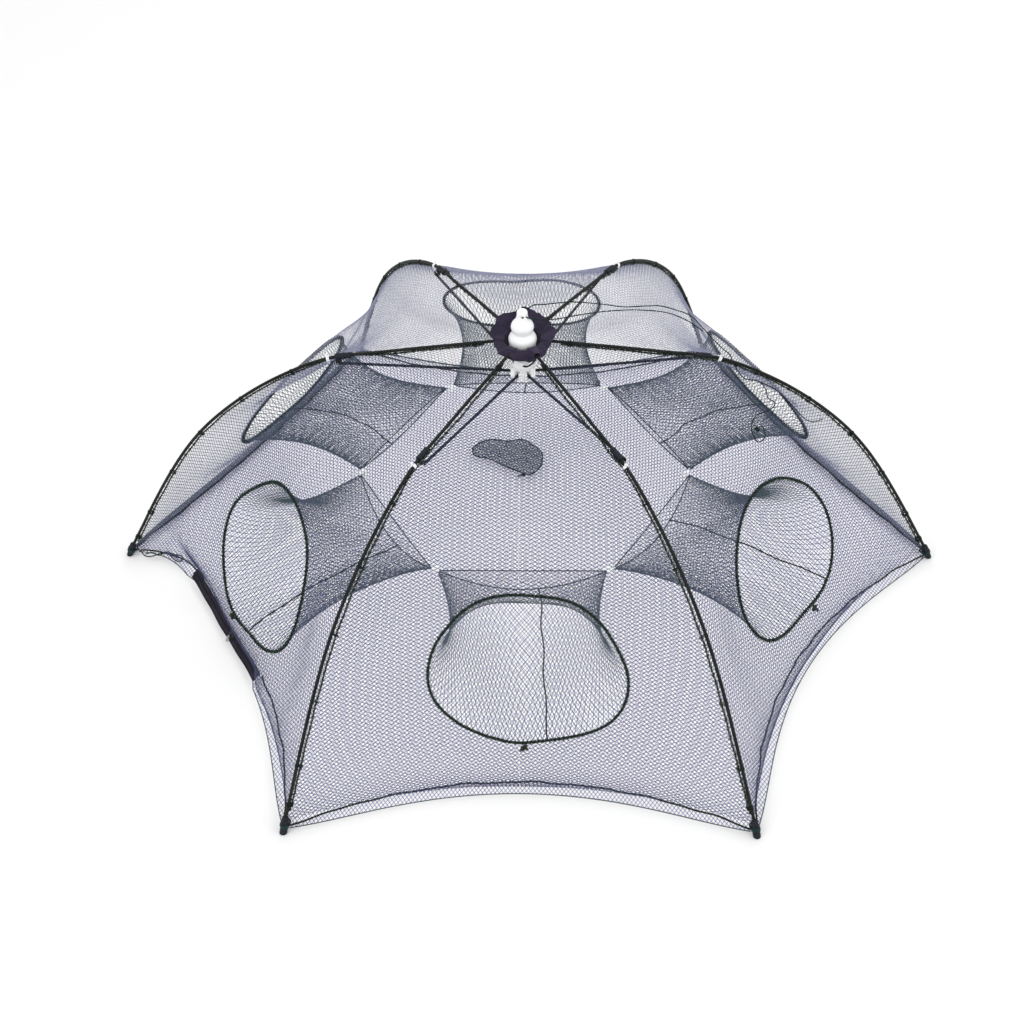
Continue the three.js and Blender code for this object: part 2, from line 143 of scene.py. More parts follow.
def curve(points, per=40):
    """Centripetal Catmull-Rom curve through the points, with per samples to a span."""
    points = np.array(points, float)
    ends = np.vstack([2 * points[0] - points[1], points, 2 * points[-1] - points[-2]])
    out = []
    for i in range(1, len(ends) - 2):
        p0, p1, p2, p3 = ends[i - 1:i + 3]
        d0, d1, d2 = [max(np.linalg.norm(b - a), 1e-6) ** 0.5
                      for a, b in ((p0, p1), (p1, p2), (p2, p3))]
        leave = ((p1 - p0) / d0 - (p2 - p0) / (d0 + d1) + (p2 - p1) / d1) * d1
        arrive = ((p2 - p1) / d1 - (p3 - p1) / (d1 + d2) + (p3 - p2) / d2) * d1
        u = np.linspace(0, 1, per, endpoint=False)[:, None]
        out.append(p1 + leave * u + (-3 * p1 + 3 * p2 - 2 * leave - arrive) * u ** 2
                   + (2 * p1 - 2 * p2 + leave + arrive) * u ** 3)
    out.append(ends[-2][None])
    return np.vstack(out)


def arc(path):
    """Length along a path at each of its points."""
    return np.concatenate([[0], np.cumsum(np.linalg.norm(np.diff(path, axis=0), axis=1))])


def sample(path, lengths, where):
    return np.stack([np.interp(where, lengths, column) for column in path.T], 1)


def resample(path, step):
    lengths = arc(path)
    count = max(2, int(round(lengths[-1] / step)) + 1)
    return sample(path, lengths, np.linspace(0, lengths[-1], count))


def circle(centre, u, v, count):
    """Points round an ellipse with half axes u and v."""
    angle = np.linspace(0, TAU, count, endpoint=False)[:, None]
    return centre + np.cos(angle) * u + np.sin(angle) * v


def coil(centre, u, v, axis, turns, pitch, count):
    """Points of a helix round an axis, centred, with half axes u and v."""
    angle = np.linspace(0, TAU * turns, count)[:, None]
    return (centre + np.cos(angle) * u + np.sin(angle) * v
            + (angle / TAU - turns / 2) * pitch * axis)


RIB = curve(RIB_LINE)
RIB_ARC = arc(RIB)
RIB_LENGTH = RIB_ARC[-1]
JOINT_SHARE = float(np.interp(JOINT_RADIUS, RIB[:, 0], RIB_ARC) / RIB_LENGTH)
NET_TOP, NET_END = 0.026 * RIB_LENGTH, 0.990 * RIB_LENGTH


def rib_at(share):
    """Radius and height of the rib line at a share of its length."""
    length = np.clip(share, 0, 1) * RIB_LENGTH
    return np.interp(length, RIB_ARC, RIB[:, 0]), np.interp(length, RIB_ARC, RIB[:, 1])


def rib_point(azimuth, share):
    return at(azimuth, *rib_at(share))


def rib_inward(share):
    """Unit normal of the rib line in its plane, pointing into the trap."""
    r0, z0 = rib_at(np.asarray(share) - 0.004)
    r1, z1 = rib_at(np.asarray(share) + 0.004)
    length = np.hypot(r1 - r0, z1 - z0)
    return (z1 - z0) / length, -(r1 - r0) / length


def seam_offset(share, rib):
    """Offset from rib 0 to 6 to the net's seam: below it or beside it, and past the joint."""
    share = np.asarray(share, float)
    inward_r, inward_z = rib_inward(share)
    way = RIB_SWAY[rib % 6]
    upper = np.clip((share - 0.03) / (JOINT_SHARE - 0.03), 0, 1)
    lower = np.clip((share - JOINT_SHARE) / (0.985 - JOINT_SHARE), 0, 1)
    bell = np.sin(math.pi * upper) ** 0.6 + np.sin(math.pi * lower) ** 0.5
    depth = 2.9 + (0.5 - 2.2 * abs(way)) * bell
    sway = 4.6 * way * bell
    # beside the joint the seam steps sideways round the sleeve
    near = np.exp(-((share - JOINT_SHARE + 0.012) / 0.03) ** 2)
    joint_depth, joint_sway = (-0.6, 4.9) if way > 0.5 else (0.6, -4.9)
    depth = depth * (1 - near) + joint_depth * near
    sway = sway * (1 - near) + joint_sway * near
    return at(60 * rib, inward_r * depth, inward_z * depth, sway)


def hoop_radius(panel, angle):
    series = HOOP_SERIES[panel]
    return series[0] + sum(
        series[2 * wave - 1] * np.cos(wave * angle) + series[2 * wave] * np.sin(wave * angle)
        for wave in range(1, 6))


# ---------------------------------------------------------------- mesh code
FLIP = [0, 3, 2, 1]              # column order that turns a quad over


def grid(rows, sides, closed=False):
    """Quads between rows of rings; closed joins the last row to the first."""
    i = np.arange(rows if closed else rows - 1)[:, None]
    j = np.arange(sides)[None]
    here, after = i * sides, (i + 1) % rows * sides
    beside = (j + 1) % sides
    return np.stack([here + j, here + beside, after + beside, after + j], -1).reshape(-1, 4)


def end_caps(rows, sides):
    return np.stack([np.arange(sides)[::-1], (rows - 1) * sides + np.arange(sides)])


class Build:
    """Collects closed pieces of one mesh, in millimetres."""

    def __init__(self):
        self.points, self.count, self.faces, self.slots = [], 0, {}, {}

    def add(self, points, faces, mat=0):
        """faces is a list of index arrays, one for each number of corners."""
        points = np.asarray(points, float).reshape(-1, 3)
        for part in faces:
            corners = part.shape[1]
            self.faces.setdefault(corners, []).append(part + self.count)
            self.slots.setdefault(corners, []).append(np.full(len(part), mat))
        self.points.append(points)
        self.count += len(points)

    def done(self, name, *materials):
        """Makes the smooth-shaded object, in metres."""
        me = bpy.data.meshes.new(name)
        points = np.vstack(self.points) * 0.001
        order = sorted(self.faces)
        faces = [np.vstack(self.faces[corners]).astype(np.int32) for corners in order]
        slots = np.concatenate([slot for corners in order for slot in self.slots[corners]])
        me.vertices.add(len(points))
        me.vertices.foreach_set("co", points.astype(np.float32).ravel())
        loops = np.concatenate([part.ravel() for part in faces])
        sizes = np.concatenate([np.full(len(part), part.shape[1], np.int32) for part in faces])
        starts = np.concatenate([[0], np.cumsum(sizes)[:-1]]).astype(np.int32)
        me.loops.add(len(loops))
        me.loops.foreach_set("vertex_index", loops)
        me.polygons.add(len(sizes))
        me.polygons.foreach_set("loop_start", starts)
        me.update(calc_edges=True)
        me.polygons.foreach_set("use_smooth", np.full(len(sizes), True))
        for material in materials:
            me.materials.append(material)
        me.polygons.foreach_set("material_index", slots.astype(np.int32))
        me.validate()
        piece = bpy.data.objects.new(name, me)
        bpy.context.scene.collection.objects.link(piece)
        return piece


def frames(path, ref=None, closed=False):
    """Tangent and two normals along a path. ref is a wanted normal, one or one for each point;
    without it the first normal is carried along."""
    if closed:
        along = unit(np.roll(path, -1, 0) - np.roll(path, 1, 0))
    else:
        along = unit(np.gradient(path, axis=0))
    if ref is not None:
        normal = unit(ref - (ref * along).sum(1, keepdims=True) * along)
        return along, normal, np.cross(along, normal)
    normal = np.empty_like(path)
    start = UP if abs(along[0][2]) < 0.9 else np.array([1.0, 0, 0])
    current = np.cross(along[0], start)
    for i in range(len(path)):
        current = current - (current @ along[i]) * along[i]
        current = current / max(np.linalg.norm(current), 1e-12)
        normal[i] = current
    if closed:  # spread out the twist left over where the loop closes
        last = normal[-1] - (normal[-1] @ along[0]) * along[0]
        last /= np.linalg.norm(last)
        gap = math.atan2(np.cross(normal[0], last) @ along[0], normal[0] @ last)
        angle = (-gap * np.arange(len(path)) / len(path))[:, None]
        normal = normal * np.cos(angle) + np.cross(along, normal) * np.sin(angle)
    return along, normal, np.cross(along, normal)


def tube(build, path, radius, sides=8, ref=None, closed=False, mat=0, flat=1.0, dome=False):
    """A closed tube along a path. radius is a number or one for each point; flat squeezes it
    along the second normal; dome rounds the ends."""
    path = np.asarray(path, float)
    _, normal, binormal = frames(path, ref, closed)
    radii = np.broadcast_to(np.asarray(radius, float), (len(path),))
    if dome:
        lengths = arc(path)
        total = lengths[-1]
        reach = min(float(radii[0]), total / 3)
        steps = np.array([0, 0.1, 0.35, 0.7, 1])
        to_end = np.minimum(lengths, total - lengths)
        where = np.concatenate([lengths[lengths < reach * 0.01], steps * reach,
                                lengths[to_end > reach], total - steps[::-1] * reach])
        where = np.unique(np.clip(where, 0, total))
        to_end = np.clip(np.minimum(where, total - where) / reach, 0, 1)
        radii = (np.interp(where, lengths, radii)
                 * np.sqrt(np.clip(1 - (1 - to_end) ** 2, 0.02, 1)))
        path, normal, binormal = [sample(p, lengths, where) for p in (path, normal, binormal)]
        normal, binormal = unit(normal), unit(binormal)
    angle = (np.arange(sides) * TAU / sides)[None, :, None]
    rings = path[:, None] + radii[:, None, None] * (
        np.cos(angle) * normal[:, None] + flat * np.sin(angle) * binormal[:, None])
    faces = [grid(len(path), sides, closed)]
    if not closed:
        faces.append(end_caps(len(path), sides))
    build.add(rings, faces, mat)


def twisted(build, path, radius, pitch=5.0, sides=5, per_turn=6, closed=False, mats=(0, 1)):
    """A laid cord: two strands wound round the path, one in each of the two materials."""
    step = pitch / per_turn
    if closed:
        path = np.vstack([path, path[:1]])
        lengths = arc(path)
        count = max(8, int(round(lengths[-1] / step)))
        count = int(round(count / per_turn)) * per_turn
        path = sample(path, lengths, np.arange(count) * lengths[-1] / count)
    else:
        path = resample(path, step)
    _, normal, binormal = frames(path, None, closed)
    strand = radius * 0.56
    for k, mat in enumerate(mats):
        angle = (np.arange(len(path)) * TAU / per_turn + k * TAU / 2)[:, None]
        out = normal * np.cos(angle) + binormal * np.sin(angle)
        tube(build, path + out * (radius - strand), strand, sides, ref=out, closed=closed,
             mat=mat)


def lathe(build, profile, sides=48, centre=(0, 0, 0), x=(1, 0, 0), y=(0, 1, 0), z=(0, 0, 1)):
    """Profile of (radius, height) pairs from one end on the axis to the other."""
    profile = np.array(profile, float)
    centre, x, y, z = [np.array(v, float) for v in (centre, x, y, z)]
    angle = (np.arange(sides) * TAU / sides)[None, :, None]
    body = profile[1:-1]
    rings = (centre + body[:, None, 0:1] * (np.cos(angle) * x + np.sin(angle) * y)
             + body[:, None, 1:2] * z)
    points = np.vstack([rings.reshape(-1, 3), centre + profile[0, 1] * z,
                        centre + profile[-1, 1] * z])
    rows = len(body)
    j = np.arange(sides)
    beside = (j + 1) % sides
    last = (rows - 1) * sides
    low = np.stack([np.full(sides, rows * sides), beside, j], -1)
    top = np.stack([np.full(sides, rows * sides + 1), last + j, last + beside], -1)
    build.add(points, [grid(rows, sides), low, top])


def rounded(profile, radius, count):
    """Rounds the inner corners of a profile, with count points to each."""
    profile = np.array(profile, float)
    out = [profile[0]]
    for before, corner, after in zip(profile[:-2], profile[1:-1], profile[2:]):
        u, v = before - corner, after - corner
        reach = min(radius, np.linalg.norm(u) * 0.45, np.linalg.norm(v) * 0.45)
        start, end = corner + unit(u) * reach, corner + unit(v) * reach
        for t in np.linspace(0, 1, count):
            out.append((1 - t) ** 2 * start + 2 * t * (1 - t) * corner + t * t * end)
    out.append(profile[-1])
    return np.array(out)


def block(build, centre, size, x, y, z, chamfer=0.5, mat=0):
    """A box with chamfered edges."""
    axes = [np.array(v, float) for v in (x, y, z)]
    half_x, half_y, half_z = np.array(size, float) / 2
    points = []
    for height, inset in ((-half_z, chamfer), (-half_z + chamfer, 0),
                          (half_z - chamfer, 0), (half_z, chamfer)):
        for sx, sy in ((1, 1), (-1, 1), (-1, -1), (1, -1)):
            far_x, far_y = half_x - inset, half_y - inset
            corner = [(sx * far_x, sy * (far_y - chamfer), height),
                      (sx * (far_x - chamfer), sy * far_y, height)]
            points += corner if sx * sy > 0 else corner[::-1]
    build.add(local(centre, axes, points), [grid(4, 8), end_caps(4, 8)], mat)


def knot(build, centre, size, radius, normal=UP, mat=0, turn=0.0, tail=None):
    """A small tight knot, a tube along a trefoil, with a loose end through the tail offsets."""
    normal = unit(np.array(normal, float))
    x = unit(np.cross(normal, [0.3, 0.5, 0.81]))
    y = np.cross(normal, x)
    a = np.linspace(0, TAU, 40, endpoint=False)
    trefoil = np.stack([np.sin(a) + 2 * np.sin(2 * a), np.cos(a) - 2 * np.cos(2 * a),
                        -np.sin(3 * a)], 1) / 3.0 * [1, 0.8, 0.9]
    cos, sin = math.cos(turn), math.sin(turn)
    axes = (cos * x + sin * y, cos * y - sin * x, normal)
    tube(build, centre + size * (trefoil @ np.array(axes)), radius, 7, closed=True, mat=mat)
    if tail:
        path = curve([centre] + [centre + np.array(offset, float) for offset in tail], 6)
        tube(build, path, radius * 0.9, 7, mat=mat, dome=True)


def net_threads(outline, wave, shortest, step, fewest):
    """Yields the threads of one family inside an outline, as rows of (x, y). wave points across
    the threads and its length is one over their spacing; step is the spacing of the samples."""
    spacing = 1 / np.linalg.norm(wave)
    normal = wave * spacing
    along = np.array([-normal[1], normal[0]])
    offset = outline @ normal
    for number in np.arange(math.ceil(offset.min() / spacing),
                            math.floor(offset.max() / spacing) + 1):
        gap = offset - number * spacing
        following = np.roll(gap, -1)
        hit = np.flatnonzero((gap > 0) != (following > 0))
        share = gap[hit] / (gap[hit] - following[hit])
        start, end = outline[hit], np.roll(outline, -1, 0)[hit]
        crossings = np.sort((start + (end - start) * share[:, None]) @ along)
        for low, high in zip(crossings[::2], crossings[1::2]):
            if high - low >= shortest:
                count = max(fewest, int((high - low) / step) + 1)
                yield normal * number * spacing + along * np.linspace(low, high, count)[:, None]


# ---------------------------------------------------------------- materials
class Shader:
    """A material with one principled shader."""

    def __init__(self, name):
        self.material = bpy.data.materials.new(name)
        self.material.use_nodes = True
        self.tree = self.material.node_tree
        self.tree.nodes.clear()
        output = self.node("ShaderNodeOutputMaterial")
        self.inputs = self.node("ShaderNodeBsdfPrincipled").inputs
        self.link(self.inputs[0].node.outputs[0], output.inputs[0])

    def node(self, kind):
        return self.tree.nodes.new(kind)

    def link(self, source, target):
        self.tree.links.new(source, target)

    def set(self, values):
        for name, value in values.items():
            self.inputs[name].default_value = value

    def noise(self, scale, detail=3.0, rough=0.55):
        place = self.node("ShaderNodeTexCoord").outputs["Object"]
        texture = self.node("ShaderNodeTexNoise")
        texture.inputs["Scale"].default_value = scale
        texture.inputs["Detail"].default_value = detail
        texture.inputs["Roughness"].default_value = rough
        self.link(place, texture.inputs["Vector"])
        return texture.outputs["Fac"]

    def colour(self, stops, **noise):
        """Base colour from noise through (position, colour) stops."""
        source = self.noise(**noise)
        ramp = self.node("ShaderNodeValToRGB")
        elements = ramp.color_ramp.elements
        for element, (position, shade) in zip(elements, (stops[0], stops[-1])):
            element.position = position
            element.color = (*shade, 1)
        for position, shade in stops[1:-1]:
            elements.new(position).color = (*shade, 1)
        self.link(source, ramp.inputs[0])
        self.link(ramp.outputs[0], self.inputs["Base Color"])

    def roughness(self, scale, low, high):
        source = self.noise(scale)
        spread = self.node("ShaderNodeMapRange")
        spread.inputs["To Min"].default_value = low
        spread.inputs["To Max"].default_value = high
        self.link(source, spread.inputs["Value"])
        self.link(spread.outputs[0], self.inputs["Roughness"])

    def bump(self, height, strength, distance, before=None):
        """Bump from a height output, on top of an earlier bump if one is given."""
        bump = self.node("ShaderNodeBump")
        bump.inputs["Strength"].default_value = strength
        bump.inputs["Distance"].default_value = distance
        self.link(height, bump.inputs["Height"])
        if before is not None:
            self.link(before, bump.inputs["Normal"])
        self.link(bump.outputs[0], self.inputs["Normal"])
        return bump.outputs[0]


def plastic(name, dark, pale, rough, scale, fine, bump, specular=0.5, metallic=0.0):
    """Smooth surface; fine is the scale of the grain and bump its strength."""
    shader = Shader(name)
    shader.colour([(0.3, dark), (0.7, pale)], scale=scale)
    shader.roughness(scale * 4, *rough)
    shader.bump(shader.noise(fine, detail=2), strength=bump, distance=0.0002)
    shader.set({"Specular IOR Level": specular, "Metallic": metallic})
    return shader.material


def thread(name, dark, pale, rough=0.7, scale=140):
    """Filament yarn: colour changes along it, and fine fibres."""
    shader = Shader(name)
    shader.colour([(0.32, dark), (0.68, pale)], scale=scale, detail=4, rough=0.7)
    shader.roughness(scale * 3, rough - 0.1, rough + 0.15)
    shader.bump(shader.noise(2600, detail=2), strength=0.5, distance=0.00015)
    shader.set({"Specular IOR Level": 0.15})
    return shader.material


def pultruded_rod():
    """Satin black rod."""
    shader = Shader("pultruded_rod")
    shader.colour([(0.3, (0.003, 0.004, 0.004)), (0.72, (0.012, 0.014, 0.012))], scale=90)
    shader.roughness(260, 0.45, 0.65)
    shader.set({"Specular IOR Level": 0.22})
    shader.bump(shader.noise(1800, detail=2), strength=0.25, distance=0.00015)
    return shader.material


def cap_cloth():
    """Thin cloth with a plain weave."""
    shader = Shader("cap_cloth")
    place = shader.node("ShaderNodeTexCoord").outputs["Object"]
    waves = []
    for axis in ("X", "Y"):
        wave = shader.node("ShaderNodeTexWave")
        wave.bands_direction = axis
        wave.inputs["Scale"].default_value = 420
        wave.inputs["Distortion"].default_value = 0.6
        shader.link(place, wave.inputs["Vector"])
        waves.append(wave.outputs["Fac"])
    weave = shader.node("ShaderNodeMath")
    weave.operation = "MULTIPLY"
    for i, wave in enumerate(waves):
        shader.link(wave, weave.inputs[i])
    shader.colour([(0.28, (0.018, 0.014, 0.030)), (0.55, (0.036, 0.028, 0.054)),
                   (0.8, (0.070, 0.056, 0.100))], scale=45, detail=4, rough=0.6)
    shader.set({"Roughness": 0.85, "Sheen Weight": 0.08, "Specular IOR Level": 0.1})
    shader.roughness(120, 0.7, 0.95)
    folds = shader.bump(shader.noise(70), strength=0.5, distance=0.0012)
    shader.bump(weave.outputs[0], strength=0.5, distance=0.0002, before=folds)
    return shader.material


def zip_cloth():
    """Tape with diagonal ridges."""
    shader = Shader("zip_tape_cloth")
    place = shader.node("ShaderNodeTexCoord").outputs["Object"]
    wave = shader.node("ShaderNodeTexWave")
    wave.wave_type = "BANDS"
    wave.bands_direction = "DIAGONAL"
    wave.inputs["Scale"].default_value = 300
    wave.inputs["Distortion"].default_value = 1.2
    shader.link(place, wave.inputs["Vector"])
    shader.colour([(0.3, (0.012, 0.009, 0.017)), (0.75, (0.038, 0.029, 0.048))],
                  scale=60, detail=4)
    shader.roughness(150, 0.62, 0.85)
    shader.set({"Specular IOR Level": 0.15})
    shader.bump(wave.outputs["Fac"], strength=0.6, distance=0.0003)
    return shader.material


NET = thread("net_yarn", (0.040, 0.048, 0.105), (0.075, 0.085, 0.170))
# Paler copy of the net yarn for the far panels 1 to 3: painted light, the far side of the tent
# made brighter by a lighter yarn colour
NET_PAINTED_LIGHT = thread("net_yarn_painted_light", (0.210, 0.220, 0.320), (0.320, 0.330, 0.440))
NET_FUNNEL = thread("funnel_yarn", (0.045, 0.066, 0.088), (0.085, 0.110, 0.135))
NET_FLOOR = thread("floor_yarn", (0.110, 0.105, 0.360), (0.180, 0.170, 0.500))
DARK = thread("cord_strand_dark", (0.003, 0.008, 0.006), (0.013, 0.023, 0.016),
              rough=0.6, scale=300)
OLIVE = thread("cord_strand_olive", (0.010, 0.016, 0.009), (0.040, 0.048, 0.028),
               rough=0.6, scale=300)
PALE = thread("cord_strand_pale", (0.035, 0.045, 0.032), (0.140, 0.150, 0.110),
              rough=0.7, scale=300)
TEAL = thread("cord_strand_teal", (0.010, 0.034, 0.032), (0.028, 0.075, 0.070),
              rough=0.6, scale=300)
GREY = thread("cord_strand_grey", (0.030, 0.052, 0.056), (0.085, 0.115, 0.120),
              rough=0.6, scale=300)
TIE = plastic("white_tie", (0.86, 0.87, 0.89), (0.95, 0.96, 0.97),
              rough=(0.25, 0.4), scale=90, fine=1500, bump=0.1)
WHITE = plastic("white_moulded", (0.90, 0.91, 0.93), (0.97, 0.975, 0.98),
                rough=(0.16, 0.26), scale=40, fine=1200, bump=0.06)
BLACK = plastic("black_moulded", (0.006, 0.008, 0.013), (0.016, 0.019, 0.028),
                rough=(0.45, 0.62), scale=70, fine=1400, bump=0.3, specular=0.2)
WIRE = plastic("drawn_wire", (0.50, 0.50, 0.51), (0.66, 0.66, 0.68),
               rough=(0.25, 0.4), scale=200, fine=1500, bump=0.2, metallic=1.0)
DARK_METAL = plastic("coated_metal", (0.012, 0.012, 0.014), (0.035, 0.034, 0.036),
                     rough=(0.25, 0.45), scale=160, fine=1500, bump=0.2, metallic=0.6)
BRIGHT_METAL = plastic("bright_metal", (0.30, 0.30, 0.31), (0.55, 0.55, 0.56),
                       rough=(0.22, 0.4), scale=300, fine=1500, bump=0.2, metallic=1.0)
ROD = pultruded_rod()
CAP_CLOTH = cap_cloth()
ZIP_CLOTH = zip_cloth()


def hide_from_light(piece):
    """Fine net: it casts no lamp shadow, as open net hardly does."""
    piece.visible_shadow = False
    piece.visible_diffuse = False


def stand(piece, body, slot, *nodes):
    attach(piece, body)
    if nodes:
        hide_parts(*nodes)


def squash(piece, azimuth, anchor):
    """Gives the piece its own copy of its mesh. anchor is radius, height and sideways, in metres;
    the point made from it and the azimuth is not used.
    """
    tuple(at(azimuth, *anchor))
    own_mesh(piece)


# ---------------------------------------------------------------- the net tent
def canopy(panel, down, across, half):
    """Net surface of panel 0 to 5, and how far out it is in hoop radii. down is the length from
    the hub, across the distance from the panel's middle, half the side of it, -1 or 1."""
    share = down / RIB_LENGTH
    radius, height = rib_at(share)
    half_width = 0.5 * radius
    u = np.clip(across / half_width, 0, 1)
    # the middle is pulled in, more so towards the lower edge
    low = np.clip((300 - height) / 300, 0, 1)
    extra = (TIP_RADIUS * COS30 - MID_EDGE[panel]) - 26
    pull = 4 + 10 * low ** 0.6 + 12 * low ** 3 + max(0.0, extra) * low ** 10
    pull = pull + min(0.0, extra) * low ** 3
    power = 2 + 6 * low ** 4 if (panel == ZIP_PANEL and half < 0) else 2.0
    # between the ribs the net falls near the hub and goes slack further down
    fall = 7 * np.sin(math.pi * np.clip(share * 1.6, 0, 1)) * (share < 0.625) * (1 - u ** 6)
    inward_r, inward_z = rib_inward(share)
    slack = np.sin(math.pi * np.clip((share - 0.17) / 0.80, 0, 1)) ** 1.2
    slack = SAG[panel] * slack * (1 - u * u)
    radius = radius * COS30 - pull * (1 - u ** power) + inward_r * slack
    height = height - fall + fall * u ** power + inward_z * slack
    sideways = half * u * half_width
    # near the entry ring it flattens on to the ring's plane
    cos, sin = math.cos(RING_LEAN), math.sin(RING_LEAN)
    off_plane = (radius - RING_RADIUS) * cos + (height - RING_Z) * sin
    up_plane = -(radius - RING_RADIUS) * sin + (height - RING_Z) * cos
    middle, middle_up = HOOP_MIDDLE[panel]
    x, y = sideways - middle, up_plane - middle_up
    hoops = np.hypot(x, y) / hoop_radius(panel, np.arctan2(y, x))
    keep = smooth((hoops - 1) / 0.9)
    points = at(panel_azimuth(panel), radius - off_plane * (1 - keep) * cos,
                height - off_plane * (1 - keep) * sin, sideways)
    # the edge follows the seam under the rib
    edge = smooth((u - 0.72) / 0.28)[..., None]
    points = points + edge * seam_offset(share, panel + (half > 0))
    points[..., 2] = np.maximum(points[..., 2], FLOOR_Z + 0.6)
    return points, hoops


def canopy_normal(panel, down, across, half):
    step = 2.0
    along = (canopy(panel, down + step, across, half)[0]
             - canopy(panel, down - step, across, half)[0])
    beside = (canopy(panel, down, across + step, half)[0]
              - canopy(panel, down, np.maximum(across - step, 0), half)[0])
    return unit(np.cross(along, beside))


def runs(mask):
    """Start and end (exclusive) of each run of True."""
    edges = np.flatnonzero(np.diff(np.concatenate([[0], mask.astype(np.int8), [0]])))
    return zip(edges[::2], edges[1::2])


def canopy_threads(panel, half):
    """Samples (down, across) of each net thread outside the hoop, in both families."""
    down = np.arange(44.0 if panel == 4 else NET_TOP, NET_END, 0.6)
    half_width = 0.5 * rib_at(down / RIB_LENGTH)[0]
    first = math.floor(-NET_END / NET_TALL) - 2
    last = math.ceil(240 / NET_WIDE + NET_END / NET_TALL) + 2
    threads = []
    for lean in (1, -1):
        for number in range(first, last):
            across = NET_WIDE * (number - lean * down / NET_TALL)
            inside = np.flatnonzero((across >= 0) & (across <= half_width))
            if not len(inside):
                continue
            hoops = np.full(len(down), -1.0)
            points, hoops[inside] = canopy(panel, down[inside], across[inside], half)
            if panel == ZIP_PANEL:  # the net stops at the zip's inner edge
                x = half * across[inside]
                at_zip = (x > ZIP_START - 1) & (x < ZIP_END + 1) & (points[:, 2] < 14.9)
                hoops[inside[at_zip]] = -1
            for start, end in runs(hoops >= 1.0):
                if end - start < 4:
                    continue
                count = max(2, int(round((down[end - 1] - down[start]) / 6.2)) + 1)
                y = np.linspace(down[start], down[end - 1], count)
                x = np.clip(NET_WIDE * (number - lean * y / NET_TALL), 0, None)
                threads.append((y, x))
    return threads


def half_panel(panel, half, tag):
    threads = canopy_threads(panel, half)
    down = np.concatenate([y for y, x in threads])
    across = np.concatenate([x for y, x in threads])
    points = canopy(panel, down, across, half)[0]
    # yarn is finer near the hub
    radius = NET_RADIUS * THINNESS[panel] * (0.5 + 0.5 * smooth((down - 40) / 90))
    if panel == ZIP_PANEL:  # the net is drawn in to meet the tape, and finer there
        x = half * across
        reach = smooth(np.minimum(x + 180, 64 - x) / 18)
        low = smooth((70 - points[:, 2]) / 50)
        points = points - (9.8 * low * reach)[:, None] * radial(ZIP_AZIMUTH)
        radius = radius * (1 - 0.3 * low)
    normals = canopy_normal(panel, down, np.maximum(across, 0.1), half) * half
    cuts = np.cumsum([len(y) for y, x in threads])[:-1]
    build = Build()
    for path, normal, radii in zip(*[np.split(a, cuts) for a in (points, normals, radius)]):
        tube(build, path, radii, 3, ref=normal)
    # far panels 1 to 3 take the paler yarn copy: painted light on the far side of the tent
    piece = build.done(f"net_panel_{panel + 1}{tag}", NET if panel > 2 else NET_PAINTED_LIGHT)
    hide_from_light(piece)
    rib = panel if half < 0 else (panel + 1) % 6
    stand(piece, f"rib_arm_{rib + 1}", "net", f"canopy_panel_{panel + 1}")
    squash(piece, 60 * rib, (0.2, 0.2))


for panel in range(6):
    half_panel(panel, -1, "a")
    half_panel(panel, 1, "b")

# ---------------------------------------------------------------- entry rings and funnels
# by panel: turn of the knot from the hoop's foot, and of the funnel seam at its two ends
KNOT_TURN = [0.1, 0.0, -0.1, -0.22, -0.04, 0.17]
SEAM_TURN = [(0.3, -0.1), (0.1, 0.0), (-0.3, 0.1), (0.27, 0.16), (0.27, 0.12), (0.62, 0.2)]


def ring_point(panel, angle, grow=0.0, out=0.0):
    """A point at an angle round the hoop, grow outside it in its plane and out from the plane."""
    middle, middle_up = HOOP_MIDDLE[panel]
    radius = hoop_radius(panel, angle) + grow
    x = middle + radius * np.cos(angle)
    up = middle_up + radius * np.sin(angle)
    cos, sin = math.cos(RING_LEAN), math.sin(RING_LEAN)
    return at(panel_azimuth(panel), RING_RADIUS - up * sin + out * cos,
              RING_Z + up * cos + out * sin, x)


def slit_point(panel, angle):
    """The funnel's inner end: a flat slit, its lower lip hanging."""
    cos, sin = np.cos(angle), np.sin(angle)
    across = SLIT_HALF * np.sign(cos) * np.abs(cos) ** 0.75
    middle = 1 - (np.abs(across) / SLIT_HALF) ** 2
    height = SLIT_Z + np.where(sin > 0, 3.0 * sin, -17.0 * middle * np.abs(sin) ** 0.4)
    radius = SLIT_RADIUS + np.where(sin > 0, 2.0, 9.0) * middle
    return at(panel_azimuth(panel), radius, height, across)


def funnel(panel, share, angle):
    """Funnel surface: share from 0 at the ring to 1 at the slit, angle round it."""
    ring = ring_point(panel, angle, -1.2, -0.6)
    points = ring + (slit_point(panel, angle) - ring) * share[..., None]
    cos, sin = np.cos(angle), np.sin(angle)
    bow = np.sin(math.pi * share ** 0.85)
    sag = 22.0 * np.clip(sin, 0, 1) ** 0.9 * bow ** 0.8 - 9.0 * np.clip(-sin, 0, 1) * bow
    inward = 17.0 * np.abs(cos) ** 1.6 * np.sign(cos) * bow
    return points - inward[..., None] * tangent(panel_azimuth(panel)) - sag[..., None] * UP


def funnel_net(panel):
    build = Build()
    threads = 96                 # in each family
    cells = 26                   # net cells from ring to slit
    lean = cells / threads / 2 * TAU
    radius, thinning = (0.325, 0.48) if panel > 2 else (0.34, 0.30)
    share = np.linspace(0, 1, 15)
    step = 0.02
    for family in (1, -1):
        for i in range(threads):
            angle = TAU * i / threads + family * lean * share + 0.2
            round_it = funnel(panel, share, angle + step) - funnel(panel, share, angle - step)
            along = (funnel(panel, np.clip(share + step, 0, 1), angle)
                     - funnel(panel, np.clip(share - step, 0, 1), angle))
            tube(build, funnel(panel, share, angle), radius * (1 - thinning * share ** 3), 3,
                 ref=unit(np.cross(round_it, along)))
    piece = build.done(f"funnel_net_{panel + 1}", NET_FUNNEL)
    hide_from_light(piece)
    return piece


